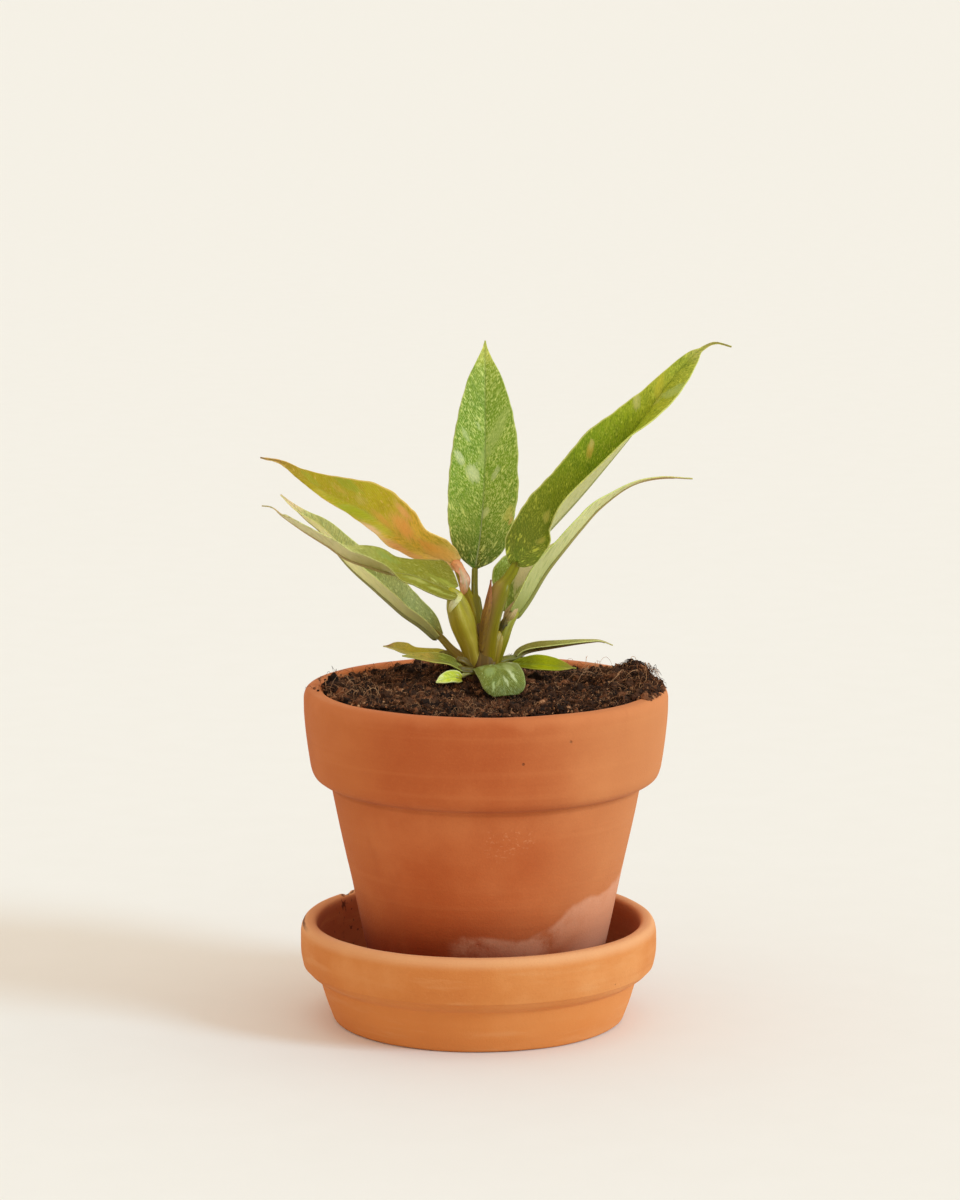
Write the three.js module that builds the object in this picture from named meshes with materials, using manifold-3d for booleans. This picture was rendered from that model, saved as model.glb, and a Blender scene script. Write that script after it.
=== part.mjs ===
// Potted ring of fire philodendron: a young plant in a terracotta pot that stands on its saucer.
// Millimetres, +Z up. The origin is the centre of the saucer's underside, and the front looks along +Y.

import * as THREE from 'three';
import { mergeVertices } from 'three/addons/utils/BufferGeometryUtils.js';
import Module from 'manifold-3d';

const wasm = await Module();
wasm.setup();

// Driving dimensions of the pottery: a pot of the 4 inch size.
const GAP = 0.3;
const AROUND = 60;
const POT_AXIS_X = 2.2;
const POT_TOP = 100;
const POT_RIM_RADIUS = 54;
const POT_MOUTH_RADIUS = 48;
const POT_BASE_RADIUS = 32;
const POT_FLOOR = 7;
const POT_CREASE_HEIGHT = 68.5;
const LIP_ROUNDING = 1.2;
const DRAIN_RADIUS = 6;
const SAUCER_RADIUS = 53.1;
const SAUCER_TOP = 29;
const SAUCER_BASE_RADIUS = 42;
const SAUCER_FLOOR = 6;

// Driving dimensions of the soil and of the stem that stands in it.
const SOIL_LEVEL = 99.6;
const STEM_RADIUS = 4.6;
const STEM_X = 1.6;
const STEM_Y = 6;
const STEM_FOOT = 84;

// Driving dimensions of the foliage.
const BLADE_THICKNESS = 0.7;
const SMALL_BLADE_THICKNESS = 0.6;
const MIN_HALF_WIDTH = 0.3;
const STALK_SIDES = 9;

const POT_BASE = SAUCER_FLOOR + GAP;
const POT_INNER_FLOOR = POT_BASE + POT_FLOOR;
const POT_INNER_BASE_RADIUS = 28.5;
const POT_WAIST = 60;

// Finishes.
const finish = (color, roughness) => new THREE.MeshStandardMaterial({ color, roughness, metalness: 0 });
const terracotta = finish('#b7643a', 0.9);
const paleTerracotta = finish('#cf8048', 0.9);
const peat = finish('#3f2a22', 1);
const stalkGreen = finish('#8f8a2c', 0.5);
const sheathBrown = finish('#8a5236', 0.7);
const leafGreen = finish('#6f9a3e', 0.45);
const oliveGreen = finish('#6f7d26', 0.45);
const orangeLeaf = finish('#c29a38', 0.45);
const paleGreen = finish('#86a062', 0.5);
const limeGreen = finish('#8fae33', 0.5);

const group = new THREE.Group();

function add(name, geometry, material) {
  const mesh = new THREE.Mesh(geometry, material);
  mesh.name = name;
  group.add(mesh);
}

// A smooth curve that never overshoots through knots [position, value], or a constant.
function eased(knots, u) {
  if (typeof knots === 'number') return knots;
  const last = knots.length - 1;
  const slope = (i) => (knots[i + 1][1] - knots[i][1]) / (knots[i + 1][0] - knots[i][0]);
  const tangent = (i) => {
    if (i === 0) return slope(0);
    if (i === last) return slope(last - 1);
    const before = slope(i - 1);
    const after = slope(i);
    return before * after <= 0 ? 0 : (2 * before * after) / (before + after);
  };
  let i = 0;
  while (i < last - 1 && u > knots[i + 1][0]) i += 1;
  const [start, low] = knots[i];
  const [end, high] = knots[i + 1];
  const t = THREE.MathUtils.clamp((u - start) / (end - start), 0, 1);
  const rise = (end - start) * (t * (1 - t) * (1 - t) * tangent(i) - t * t * (1 - t) * tangent(i + 1));
  return THREE.MathUtils.lerp(low, high, t * t * (3 - 2 * t)) + rise;
}

// A closed solid of revolution about a vertical axis, from an outline of [radius, height] points.
function turned(outline, axisX) {
  const points = outline.map(([radius, height]) => new THREE.Vector2(radius, height));
  const geometry = new THREE.LatheGeometry(points, AROUND);
  geometry.rotateX(Math.PI / 2);
  geometry.translate(axisX, 0, 0);
  return geometry;
}

function toSolid(geometry) {
  const bare = geometry.clone();
  bare.deleteAttribute('normal');
  bare.deleteAttribute('uv');
  const merged = mergeVertices(bare, 1e-4);
  return new wasm.Manifold(new wasm.Mesh({
    numProp: 3,
    vertProperties: new Float32Array(merged.attributes.position.array),
    triVerts: new Uint32Array(merged.index.array),
  }));
}

function toGeometry(solid) {
  const mesh = solid.getMesh();
  const geometry = new THREE.BufferGeometry();
  geometry.setAttribute('position', new THREE.BufferAttribute(new Float32Array(mesh.vertProperties), 3));
  geometry.setIndex(new THREE.BufferAttribute(new Uint32Array(mesh.triVerts), 1));
  geometry.computeVertexNormals();
  return geometry;
}

// The saucer: a flared wall with a thick rounded band above a crease, the same make as the pot.
const saucerOutline = [
  [0, 0],
  [SAUCER_BASE_RADIUS, 0],
  [SAUCER_BASE_RADIUS + 0.6, 0.8],
  [47.4, 9.2],
  [47.6, 10],
  [49.3, 10.8],
  [51.8, 13.8],
  [52.6, 16],
  [SAUCER_RADIUS, 19],
  [SAUCER_RADIUS, 27],
  [52.4, 28.5],
  [51.2, SAUCER_TOP],
  [49.4, SAUCER_TOP],
  [48.2, 28],
  [47.2, 20],
  [44, 9.5],
  [41, SAUCER_FLOOR],
  [0, SAUCER_FLOOR],
];
add('saucer', turned(saucerOutline, 0), paleTerracotta);

// The pot: a tapered body, a crease, and the heavy band under a rounded lip. A drain hole pierces the floor.
const innerRadius = (height) => THREE.MathUtils.mapLinear(
  height,
  POT_INNER_FLOOR,
  POT_TOP - LIP_ROUNDING,
  POT_INNER_BASE_RADIUS,
  POT_MOUTH_RADIUS,
);
const potOutline = [
  [DRAIN_RADIUS, POT_BASE],
  [POT_BASE_RADIUS - 0.8, POT_BASE],
  [POT_BASE_RADIUS + 0.3, POT_BASE + 1],
  [35.6, 21.4],
  [39.4, 39.8],
  [43.7, 59.7],
  [45.6, POT_CREASE_HEIGHT],
  [47.9, POT_CREASE_HEIGHT + 1.7],
  [50.2, POT_CREASE_HEIGHT + 3.5],
  [51.3, POT_CREASE_HEIGHT + 5.2],
  [53, 83.8],
  [POT_RIM_RADIUS, 93],
  [POT_RIM_RADIUS, 97],
  [POT_RIM_RADIUS - 0.7, 99.2],
  [POT_RIM_RADIUS - 2, POT_TOP],
  [POT_MOUTH_RADIUS + 1.3, POT_TOP],
  [POT_MOUTH_RADIUS, POT_TOP - LIP_ROUNDING],
  [innerRadius(POT_WAIST), POT_WAIST],
  [POT_INNER_BASE_RADIUS, POT_INNER_FLOOR],
  [DRAIN_RADIUS, POT_INNER_FLOOR],
  [DRAIN_RADIUS, POT_BASE],
];
add('pot', turned(potOutline, POT_AXIS_X), terracotta);

// The soil: mounded round the crown and at the back right, a little lower at the back left, with clods.
// Each swelling is [x, y, height, radius].
const swellings = [
  [2, 6, 1.8, 17],
  [37, 24, 3.4, 13],
  [-35, 28, -0.9, 13],
  [-7.5, 19, 6.2, 3.4],
  [9.5, 18, 4.6, 2.8],
  [-41, 2, 2.4, 4],
  [44, 2, 1.6, 5],
  [22, -36, 1.5, 5],
  [-20, -34, 1.2, 6],
  [-24, -14, -1, 6],
  [6, -18.5, -2.4, 6.5],
];

function soilHeight(x, y) {
  let height = SOIL_LEVEL;
  for (const [centreX, centreY, rise, radius] of swellings) {
    height += rise * Math.exp(-((x - centreX) ** 2 + (y - centreY) ** 2) / (2 * radius * radius));
  }
  const lumps = Math.sin(x / 3.1 + 1.3 * Math.sin(y / 5.2)) * Math.cos(y / 2.7 - 0.8 * Math.sin(x / 4.4));
  const crumbs = Math.sin(x / 1.9 + y / 2.3);
  return height + 0.55 * lumps + 0.25 * crumbs;
}

function soilGeometry() {
  const rings = 19;
  const surface = SOIL_LEVEL;
  const widest = innerRadius(surface) - GAP;
  const outline = [
    [0, POT_INNER_FLOOR + GAP],
    [POT_INNER_BASE_RADIUS - GAP, POT_INNER_FLOOR + GAP],
    [innerRadius(POT_WAIST) - GAP, POT_WAIST],
  ];
  for (let ring = rings; ring >= 0; ring -= 1) outline.push([(widest * ring) / rings, surface]);
  const geometry = turned(outline, 0);
  const position = geometry.attributes.position;
  for (let i = 0; i < position.count; i += 1) {
    if (position.getZ(i) < surface - 1) continue;
    const radius = Math.hypot(position.getX(i), position.getY(i));
    const angle = Math.atan2(position.getY(i), position.getX(i));
    const edgeHeight = soilHeight(POT_AXIS_X + widest * Math.cos(angle), widest * Math.sin(angle));
    const edge = innerRadius(Math.min(edgeHeight, POT_TOP - LIP_ROUNDING)) - GAP - 0.1;
    const reach = (radius / widest) * edge;
    const x = POT_AXIS_X + reach * Math.cos(angle);
    const y = reach * Math.sin(angle);
    const onEdge = radius > widest - 0.01;
    position.setXYZ(i, x - POT_AXIS_X, y, onEdge ? edgeHeight : soilHeight(x, y));
  }
  geometry.translate(POT_AXIS_X, 0, 0);
  return geometry;
}

const HOLE_DEPTH = 40;
const HOLE_SIDES = 24;
const stemHole = new THREE.CylinderGeometry(STEM_RADIUS + GAP, STEM_RADIUS + GAP, HOLE_DEPTH, HOLE_SIDES);
stemHole.rotateX(Math.PI / 2);
stemHole.translate(STEM_X, STEM_Y, STEM_FOOT - GAP + HOLE_DEPTH / 2);
add('soil', toGeometry(toSolid(soilGeometry()).subtract(toSolid(stemHole))), peat);

// The directions at a point of a midrib or a stalk. The roll turns the upper side from the facing direction.
const STEP_ALONG = 0.004;
function frameAt(curve, u, facing, roll) {
  const point = curve.getPointAt(u);
  const along = curve.getPointAt(Math.min(u + STEP_ALONG, 1));
  along.sub(curve.getPointAt(Math.max(u - STEP_ALONG, 0))).normalize();
  const upper = facing.clone().addScaledVector(along, -facing.dot(along)).normalize();
  upper.applyAxisAngle(along, THREE.MathUtils.degToRad(roll));
  const right = new THREE.Vector3().crossVectors(along, upper);
  return { point, along, upper, right };
}

const spline = (points) => new THREE.CatmullRomCurve3(
  points.map((point) => new THREE.Vector3(...point)),
  false,
  'catmullrom',
  0.5,
);

// A point of a blade: u runs from base to tip, v from the left margin (-1) to the right one (1).
// A margin may be rippled, and at the base it may reach back past the stalk in a lobe.
const RIPPLES = 3.5;
const LOBE_LENGTH = 0.18;
function bladePoint(leaf, curve, u, v) {
  const { point, along, upper, right } = frameAt(curve, u, leaf.facing, eased(leaf.roll ?? 0, u));
  const side = v < 0 ? 'left' : 'right';
  const part = Math.abs(v);
  const share = eased(leaf[`${side}Share`] ?? 1, u);
  const half = Math.max(leaf.halfWidth * eased(leaf.shape, u) * share, MIN_HALF_WIDTH);
  const fold = THREE.MathUtils.degToRad(eased(leaf[`${side}Fold`] ?? leaf.fold, u));
  const curl = THREE.MathUtils.degToRad(leaf.curl ?? 0) * part * 0.5;
  const wave = Math.sin(Math.PI * u) * Math.sin(2 * Math.PI * RIPPLES * u);
  const ripple = (leaf.ripple ?? 0) * wave * part * part;
  const lobe = (leaf[`${side}Lobe`] ?? 0) * part ** 1.5 * Math.max(0, 1 - u / LOBE_LENGTH) ** 2;
  point.addScaledVector(right, Math.sign(v) * half * part * Math.cos(fold + curl));
  point.addScaledVector(upper, half * part * Math.sin(fold + curl) + ripple);
  point.addScaledVector(along, -lobe);
  return point;
}

// A blade as a thin closed sheet, split into triangles alike on both faces.
function bladeGeometry(leaf) {
  const { rows, columns } = leaf;
  const curve = spline(leaf.midrib);
  const row = columns * 2 + 1;
  const middle = [];
  for (let i = 0; i <= rows; i += 1) {
    for (let j = -columns; j <= columns; j += 1) middle.push(bladePoint(leaf, curve, i / rows, j / columns));
  }
  const normals = middle.map(() => new THREE.Vector3());
  const faces = [];
  for (let i = 0; i < rows; i += 1) {
    for (let j = 0; j < row - 1; j += 1) {
      const corner = i * row + j;
      faces.push([corner, corner + 1, corner + row + 1]);
      faces.push([corner, corner + row + 1, corner + row]);
    }
  }
  for (const [a, b, c] of faces) {
    const normal = middle[b].clone().sub(middle[a]).cross(middle[c].clone().sub(middle[a])).normalize();
    for (const corner of [a, b, c]) normals[corner].add(normal);
  }
  const positions = [];
  for (const face of [0.5, -0.5]) {
    middle.forEach((point, i) => {
      const offset = normals[i].clone().normalize().multiplyScalar(face * leaf.thickness);
      positions.push(...point.clone().add(offset).toArray());
    });
  }
  const under = middle.length;
  const index = [];
  for (const [a, b, c] of faces) index.push(a, b, c, under + a, under + c, under + b);
  const rim = [];
  for (let j = 0; j < row - 1; j += 1) rim.push(j);
  for (let i = 0; i < rows; i += 1) rim.push(i * row + row - 1);
  for (let j = row - 1; j > 0; j -= 1) rim.push(rows * row + j);
  for (let i = rows; i > 0; i -= 1) rim.push(i * row);
  rim.forEach((from, i) => {
    const to = rim[(i + 1) % rim.length];
    index.push(from, under + from, to, to, under + from, under + to);
  });
  const geometry = new THREE.BufferGeometry();
  geometry.setAttribute('position', new THREE.BufferAttribute(new Float32Array(positions), 3));
  geometry.setIndex(index);
  geometry.computeVertexNormals();
  return geometry;
}

// A stalk: a closed tube whose radius changes along its path.
function stalkSolid({ path, radius, steps = 8 }) {
  const curve = spline(path);
  const geometry = new THREE.CylinderGeometry(1, 1, 1, STALK_SIDES, steps);
  const position = geometry.attributes.position;
  for (let i = 0; i < position.count; i += 1) {
    const u = THREE.MathUtils.clamp(position.getY(i) + 0.5, 0, 1);
    const reach = eased(radius, u);
    const { point, upper, right } = frameAt(curve, u, new THREE.Vector3(0, -1, 0.2), 0);
    point.addScaledVector(right, reach * position.getX(i));
    point.addScaledVector(upper, reach * position.getZ(i));
    position.setXYZ(i, point.x, point.y, point.z);
  }
  return toSolid(geometry);
}

// The crown: the short stem in its hole, with every leaf stalk grown together at its foot.
const stem = {
  path: [[STEM_X, STEM_Y, STEM_FOOT], [STEM_X, STEM_Y, 95], [STEM_X, STEM_Y, 104], [1.8, 6.6, 113]],
  radius: [[0, STEM_RADIUS], [0.7, STEM_RADIUS], [0.88, 4], [1, 2]],
};
const stalks = [
  {
    path: [[0.5, 8, 109], [0, 13, 119.5], [-1, 16.5, 125.5], [-1, 17, 132.1]],
    radius: [[0, 1.6], [0.6, 1.4], [0.68, 1.1], [1, 1]],
  },
  {
    path: [[1.5, 6, 105], [3.5, 3.5, 114.5], [6.5, 4.4, 124.5], [9.4, 5.6, 131], [12.2, 6.1, 137]],
    radius: [[0, 2.8], [0.35, 3], [0.65, 2.2], [0.85, 1.5], [1, 1.1]],
  },
  {
    path: [[2, 9, 105], [5.5, 9, 110], [8, 10, 115], [10.2, 11.7, 118]],
    radius: [[0, 2.2], [0.5, 2.5], [1, 1.5]],
  },
  {
    path: [[0, 6, 105], [-3.5, 2.6, 114.5], [-6.2, 0.2, 121.5], [-7.3, -1, 127.3]],
    radius: [[0, 2.4], [0.3, 3.1], [0.6, 3.4], [0.85, 3], [1, 1.9]],
  },
  {
    path: [[0.5, 9, 109], [-1.5, 12, 118], [-3.2, 14.5, 125], [-7, 15.3, 134.3]],
    radius: [[0, 1.6], [0.7, 1.4], [1, 1.1]],
  },
  {
    path: [[-1, 7.5, 103.5], [-6, 8, 106.3], [-9.5, 9, 108.6], [-11.7, 9.8, 112]],
    radius: [[0, 1.7], [0.6, 1.4], [1, 1]],
  },
  { path: [[-1, 8.5, 104.5], [-5.5, 11, 107], [-9.5, 12.2, 107.9]], radius: [[0, 1.2], [1, 0.8]] },
  { path: [[0, 4, 103.6], [-3, 1.8, 104.2], [-4.4, 0.7, 104.6]], radius: [[0, 1.5], [1, 1]] },
  { path: [[0, 3.5, 102.9], [-2.5, -0.2, 103], [-4.6, -2.9, 102.8]], radius: [[0, 0.9], [1, 0.6]] },
  { path: [[2.4, 5, 103.2], [3.4, 3.2, 104.2], [3.9, 1.8, 104.7]], radius: [[0, 2], [1, 1.5]] },
  { path: [[3.6, 6, 103.8], [7, 5.3, 105], [9.6, 5, 105.5]], radius: [[0, 1.5], [1, 0.9]] },
  { path: [[3.5, 8.5, 104.2], [7.8, 10.9, 106], [10.2, 11.7, 106.4]], radius: [[0, 1.4], [1, 0.9]] },
];
let crown = stalkSolid(stem);
for (const stalk of stalks) crown = crown.add(stalkSolid(stalk));
add('crown', toGeometry(crown), stalkGreen);

// The blades. Each has its own midrib, the same lance shape at its own width, a fold on each side of the
// midrib in degrees, and a roll that turns it about the midrib.
const FRONT = new THREE.Vector3(0, -1, 0.17).normalize();
const large = { facing: FRONT, thickness: BLADE_THICKNESS, rows: 24, columns: 3, fold: 12 };
const small = { facing: FRONT, thickness: SMALL_BLADE_THICKNESS, rows: 12, columns: 2, fold: 15 };

add('leaf_upright', bladeGeometry({
  ...large,
  midrib: [
    [-1, 17, 132.5], [0.5, 16.5, 142.5], [1.5, 17, 154.5], [2, 18.5, 169], [2, 21, 186.5],
    [2, 25, 200],
  ],
  halfWidth: 10.9,
  shape: [
    [0, 0.06], [0.05, 0.52], [0.12, 0.8], [0.23, 0.96], [0.33, 1], [0.53, 0.92], [0.66, 0.78],
    [0.83, 0.48], [0.925, 0.2], [0.97, 0.07], [1, 0.01],
  ],
  rightShare: [[0, 0.9], [0.5, 0.97], [0.66, 1.03], [0.83, 1], [1, 0.8]],
}), leafGreen);

add('leaf_right_large', bladeGeometry({
  ...large,
  rows: 30,
  midrib: [
    [11.5, 4, 136.5], [20.5, 3, 146], [28.5, 1, 155], [35.5, -1, 163.5], [45.5, -5, 176.5],
    [55, -9, 190.5], [61, -11, 198], [65, -12, 201.5], [68.5, -13, 203], [73, -14, 202],
  ],
  halfWidth: 11,
  shape: [
    [0, 0.45], [0.04, 0.72], [0.1, 0.9], [0.2, 1], [0.5, 0.98], [0.6, 0.88], [0.7, 0.66],
    [0.8, 0.45], [0.87, 0.22], [0.9, 0.07], [1, 0.01],
  ],
  leftShare: [[0, 1], [0.45, 1], [0.55, 0.87], [0.62, 0.8], [0.7, 0.68], [0.8, 0.6], [1, 1]],
  leftFold: [[0, 10], [1, 15]],
  rightFold: [
    [0, 60], [0.08, 75], [0.18, 97], [0.3, 104], [0.45, 98], [0.56, 92], [0.66, 72], [0.74, 50],
    [0.85, 30], [1, 10],
  ],
}), oliveGreen);

add('leaf_right_slim', bladeGeometry({
  ...large,
  midrib: [
    [10.5, 12, 118.5], [14.5, 14, 123.5], [20, 17, 132], [25.5, 20, 138.5], [30.5, 23, 144],
    [36.5, 26, 150], [45.5, 29, 156], [54.5, 31, 158], [64.5, 33, 157.5],
  ],
  halfWidth: 10.5,
  shape: [
    [0, 0.6], [0.04, 0.8], [0.1, 0.95], [0.2, 1], [0.35, 0.95], [0.5, 0.84], [0.58, 0.65],
    [0.65, 0.4], [0.73, 0.2], [0.82, 0.1], [1, 0.01],
  ],
  leftShare: [[0, 1.1], [0.06, 1.25], [0.15, 1.42], [0.24, 1.42], [0.35, 1.1], [0.5, 1]],
  fold: [[0, 45], [0.15, 45], [0.3, 28], [0.45, 19], [1, 15]],
  roll: [[0, -65], [0.15, -65], [0.3, -85], [0.45, -93], [1, -95]],
}), paleGreen);

add('leaf_left_orange', bladeGeometry({
  ...large,
  midrib: [
    [-6, 13, 134], [-11.5, 13.5, 136], [-17.5, 14, 138.5], [-23.5, 15, 142.5], [-34, 16, 150],
    [-45.5, 18, 155.5], [-53, 19, 160], [-59, 20, 164], [-65, 20.5, 165.5],
  ],
  halfWidth: 9.4,
  shape: [
    [0, 0.3], [0.04, 0.62], [0.1, 0.82], [0.2, 0.95], [0.33, 1], [0.45, 1], [0.56, 0.8],
    [0.68, 0.56], [0.8, 0.27], [0.87, 0.15], [0.93, 0.06], [1, 0.01],
  ],
  rightFold: [[0, 30], [0.1, 40], [0.2, 48], [0.32, 20], [0.5, 12], [1, 10]],
  leftShare: [[0, 1], [0.05, 0.6], [0.1, 0.55], [0.17, 0.74], [0.25, 0.88], [0.35, 1]],
  leftFold: [
    [0, 15], [0.04, 20], [0.1, 60], [0.2, 72], [0.42, 65], [0.6, 65], [0.68, 68], [0.76, 62],
    [0.88, 30], [1, 10],
  ],
  leftLobe: 4.5,
  ripple: 0.5,
}), orangeLeaf);

add('leaf_left_green', bladeGeometry({
  ...large,
  midrib: [
    [-7.5, -1.5, 128.6], [-14.5, -3.5, 131.9], [-20, -5.5, 134.2], [-26, -7.5, 135.5],
    [-37.5, -12, 139.8], [-43.5, -14.5, 144.1], [-50, -17, 148.5], [-56, -19, 153],
    [-59.5, -20, 156], [-62.5, -20.5, 156.6],
  ],
  halfWidth: 8.6,
  shape: [
    [0, 0.55], [0.05, 0.85], [0.15, 1], [0.35, 1], [0.5, 0.9], [0.6, 0.75], [0.7, 0.6],
    [0.8, 0.52], [0.87, 0.4], [0.9, 0.12], [1, 0.01],
  ],
  leftFold: [[0, 7], [0.25, 7], [0.4, 25], [0.6, 28], [1, 15]],
  rightShare: [[0, 1.25], [0.06, 1.25], [0.14, 1], [0.2, 1.02], [0.27, 1.22], [0.34, 1.2], [0.42, 1]],
  rightFold: [[0, 5], [0.25, 10], [0.42, 42], [0.55, 25], [1, 15]],
  roll: [[0, 60], [0.25, 63], [0.42, 80], [0.6, 88], [1, 90]],
  rightLobe: 1.5,
}), leafGreen);

add('leaf_left_folded', bladeGeometry({
  ...large,
  midrib: [
    [-12, 10, 112.5], [-17, 11.5, 116.5], [-22, 13.5, 119.5], [-26.5, 15.5, 123], [-31, 18, 126.5],
    [-39, 22, 133], [-47, 26.5, 142], [-52, 28.5, 146], [-59.5, 31, 153],
  ],
  halfWidth: 8,
  shape: [
    [0, 0.3], [0.07, 0.65], [0.15, 0.82], [0.25, 0.95], [0.4, 1], [0.5, 0.95], [0.65, 0.72],
    [0.8, 0.42], [0.9, 0.2], [1, 0.01],
  ],
  leftFold: [[0, 47], [0.8, 47], [0.92, 20], [1, 10]],
  rightFold: [[0, 42], [0.8, 42], [0.92, 20], [1, 10]],
  roll: 62,
}), paleGreen);

add('leaf_low_left_back', bladeGeometry({
  ...small,
  midrib: [
    [-10, 12.5, 107.8], [-13.5, 13, 107.4], [-17.5, 13.5, 107.5], [-21.5, 14, 107.9],
    [-25, 15, 108.9], [-28.5, 16, 109.2],
  ],
  halfWidth: 4,
  shape: [[0, 0.3], [0.15, 0.6], [0.45, 0.65], [0.68, 1], [0.85, 0.6], [0.94, 0.15], [1, 0.02]],
  roll: 65,
}), oliveGreen);

add('leaf_low_left_front', bladeGeometry({
  ...small,
  midrib: [
    [-5, 0, 105], [-6.5, -0.5, 106.2], [-9, -1, 107.5], [-13, -1.5, 108.2], [-18, -2, 109],
    [-22.5, -2.5, 109.5],
  ],
  halfWidth: 4.2,
  shape: [[0, 0.35], [0.2, 0.8], [0.45, 1], [0.7, 0.65], [0.88, 0.3], [1, 0.02]],
  roll: 62,
}), leafGreen);

add('leaf_low_oval', bladeGeometry({
  ...small,
  rows: 8,
  midrib: [[-5, -3.3, 102.7], [-7.5, -4.3, 103.4], [-10, -5.3, 103], [-12.5, -6.3, 102.2]],
  halfWidth: 2.2,
  shape: [[0, 0.5], [0.2, 0.95], [0.45, 1], [0.75, 0.75], [0.92, 0.3], [1, 0.05]],
  fold: 25,
  roll: 25,
}), limeGreen);

add('leaf_front', bladeGeometry({
  ...small,
  facing: new THREE.Vector3(0, -0.5, 1).normalize(),
  midrib: [
    [4, 1, 105], [4.5, -3, 107], [5, -8, 107], [5.5, -12.5, 105.6], [6, -15.5, 103],
    [6.3, -16.8, 100.6],
  ],
  halfWidth: 7.6,
  shape: [[0, 0.6], [0.15, 0.78], [0.4, 0.92], [0.7, 1], [0.9, 0.95], [1, 0.7]],
  fold: 8,
  curl: -25,
}), paleGreen);

add('leaf_low_right_bright', bladeGeometry({
  ...small,
  midrib: [
    [10, 5, 105.5], [13, 5, 105.7], [18, 5, 105.6], [22.5, 5, 105.1], [26.5, 5, 104.7],
    [29, 5, 104.5],
  ],
  halfWidth: 3.1,
  shape: [[0, 0.3], [0.15, 0.65], [0.4, 1], [0.65, 0.85], [0.85, 0.4], [0.93, 0.12], [1, 0.02]],
  fold: 20,
  roll: -40,
}), limeGreen);

add('leaf_low_right_slim', bladeGeometry({
  ...small,
  midrib: [
    [11, 12, 106.5], [13, 14, 107.6], [16, 16, 108.2], [21, 18, 108.6], [27.5, 21, 109],
    [33.5, 24, 109.2], [37, 26, 109], [40.5, 27, 107.6],
  ],
  halfWidth: 3.6,
  shape: [[0, 0.3], [0.1, 0.7], [0.3, 1], [0.55, 0.7], [0.8, 0.35], [0.9, 0.15], [1, 0.02]],
  fold: 20,
  roll: -75,
}), paleGreen);

// The papery brown sheath that wrapped the newest leaf, still standing in front of the stalks.
add('sheath', bladeGeometry({
  ...small,
  midrib: [
    [1.2, 0.7, 107.8], [1.2, -0.5, 111], [1.4, -1.2, 115], [2.1, -1.4, 120], [2.9, -1.4, 126],
    [3.5, -1.4, 131.5],
  ],
  halfWidth: 2.2,
  shape: [[0, 0.8], [0.2, 1], [0.5, 0.8], [0.8, 0.35], [1, 0.05]],
  fold: -25,
}), sheathBrown);

export default group;
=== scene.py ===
# %% [markdown]
# # A young ring of fire philodendron in a terracotta pot
#
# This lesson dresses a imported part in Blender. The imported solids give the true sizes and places. Every
# piece made here stands over one of those solids and carries the look of the real thing: fired clay, peat,
# stalks and leaves. Lengths are written in millimetres, as a gardener would measure them, and one factor
# turns them into metres when a mesh is made.

import math

import bpy
import numpy as np
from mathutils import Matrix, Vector, kdtree, noise


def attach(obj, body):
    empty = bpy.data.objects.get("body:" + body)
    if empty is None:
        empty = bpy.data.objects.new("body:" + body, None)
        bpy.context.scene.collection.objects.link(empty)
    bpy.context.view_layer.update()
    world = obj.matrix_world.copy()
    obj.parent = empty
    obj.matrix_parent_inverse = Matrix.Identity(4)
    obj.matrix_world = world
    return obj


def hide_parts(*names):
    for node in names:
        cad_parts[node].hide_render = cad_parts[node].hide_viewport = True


MM = 0.001
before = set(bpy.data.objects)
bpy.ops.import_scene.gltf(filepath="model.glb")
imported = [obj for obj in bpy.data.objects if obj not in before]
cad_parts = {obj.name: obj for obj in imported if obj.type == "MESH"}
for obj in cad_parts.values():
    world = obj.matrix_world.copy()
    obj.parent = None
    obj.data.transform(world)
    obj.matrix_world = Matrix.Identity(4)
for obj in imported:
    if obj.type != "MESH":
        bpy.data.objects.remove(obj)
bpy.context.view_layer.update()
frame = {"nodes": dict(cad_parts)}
draw = np.random.default_rng(20)
print("solids to dress:", ", ".join(frame["nodes"]))

# %% [markdown]
# ## The camera and the studio
#
# The picture was taken from a little above the pot with a long lens, which keeps the pot's sides straight.
# A long lens is a large focal length on a small sensor. The camera is added at its place and tilted down.

# %% The camera
CAMERA_PLACE = (0.00045, -1.2, 0.318)
CAMERA_TILT = math.radians(80.9)
SENSOR_WIDTH = 24.0
FOCAL_LENGTH = 103.1


def clear_selection():
    bpy.ops.object.select_all(action="DESELECT")


clear_selection()
bpy.ops.object.camera_add(location=CAMERA_PLACE, rotation=(CAMERA_TILT, 0, 0))
camera = bpy.context.object
camera.data.sensor_fit = "HORIZONTAL"
camera.data.sensor_width = SENSOR_WIDTH
camera.data.lens = FOCAL_LENGTH
camera.data.clip_end = 200
bpy.context.scene.camera = camera
bpy.context.scene.view_settings.view_transform = "Standard"
print("camera focal length in mm:", round(camera.data.lens, 1))

# %% [markdown]
# A material is a small graph of nodes. The few helpers below add a node and wire its sockets, so that each
# finish further on reads like a recipe. Colours are written as a painter would mix them on screen, from 0
# to 255, and turned into the linear light values that the renderer wants.


# %% Helpers for node graphs
def paint(red, green, blue, lift=1.0):
    linear = [((c / 255 + 0.055) / 1.055) ** 2.4 if c > 10 else c / 255 / 12.92 for c in (red, green, blue)]
    return tuple(min(c * lift, 0.95) for c in linear) + (1.0,)


def wire(tree, socket, value):
    if isinstance(value, bpy.types.NodeSocket):
        tree.links.new(value, socket)
    else:
        socket.default_value = value


def node(tree, kind, inputs, **settings):
    made = tree.nodes.new(kind)
    for key, value in settings.items():
        setattr(made, key, value)
    for key, value in inputs.items():
        wire(tree, made.inputs[key], value)
    return made


def maths(tree, operation, one, two=0.0):
    return node(tree, "ShaderNodeMath", {0: one, 1: two}, operation=operation).outputs[0]


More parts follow.
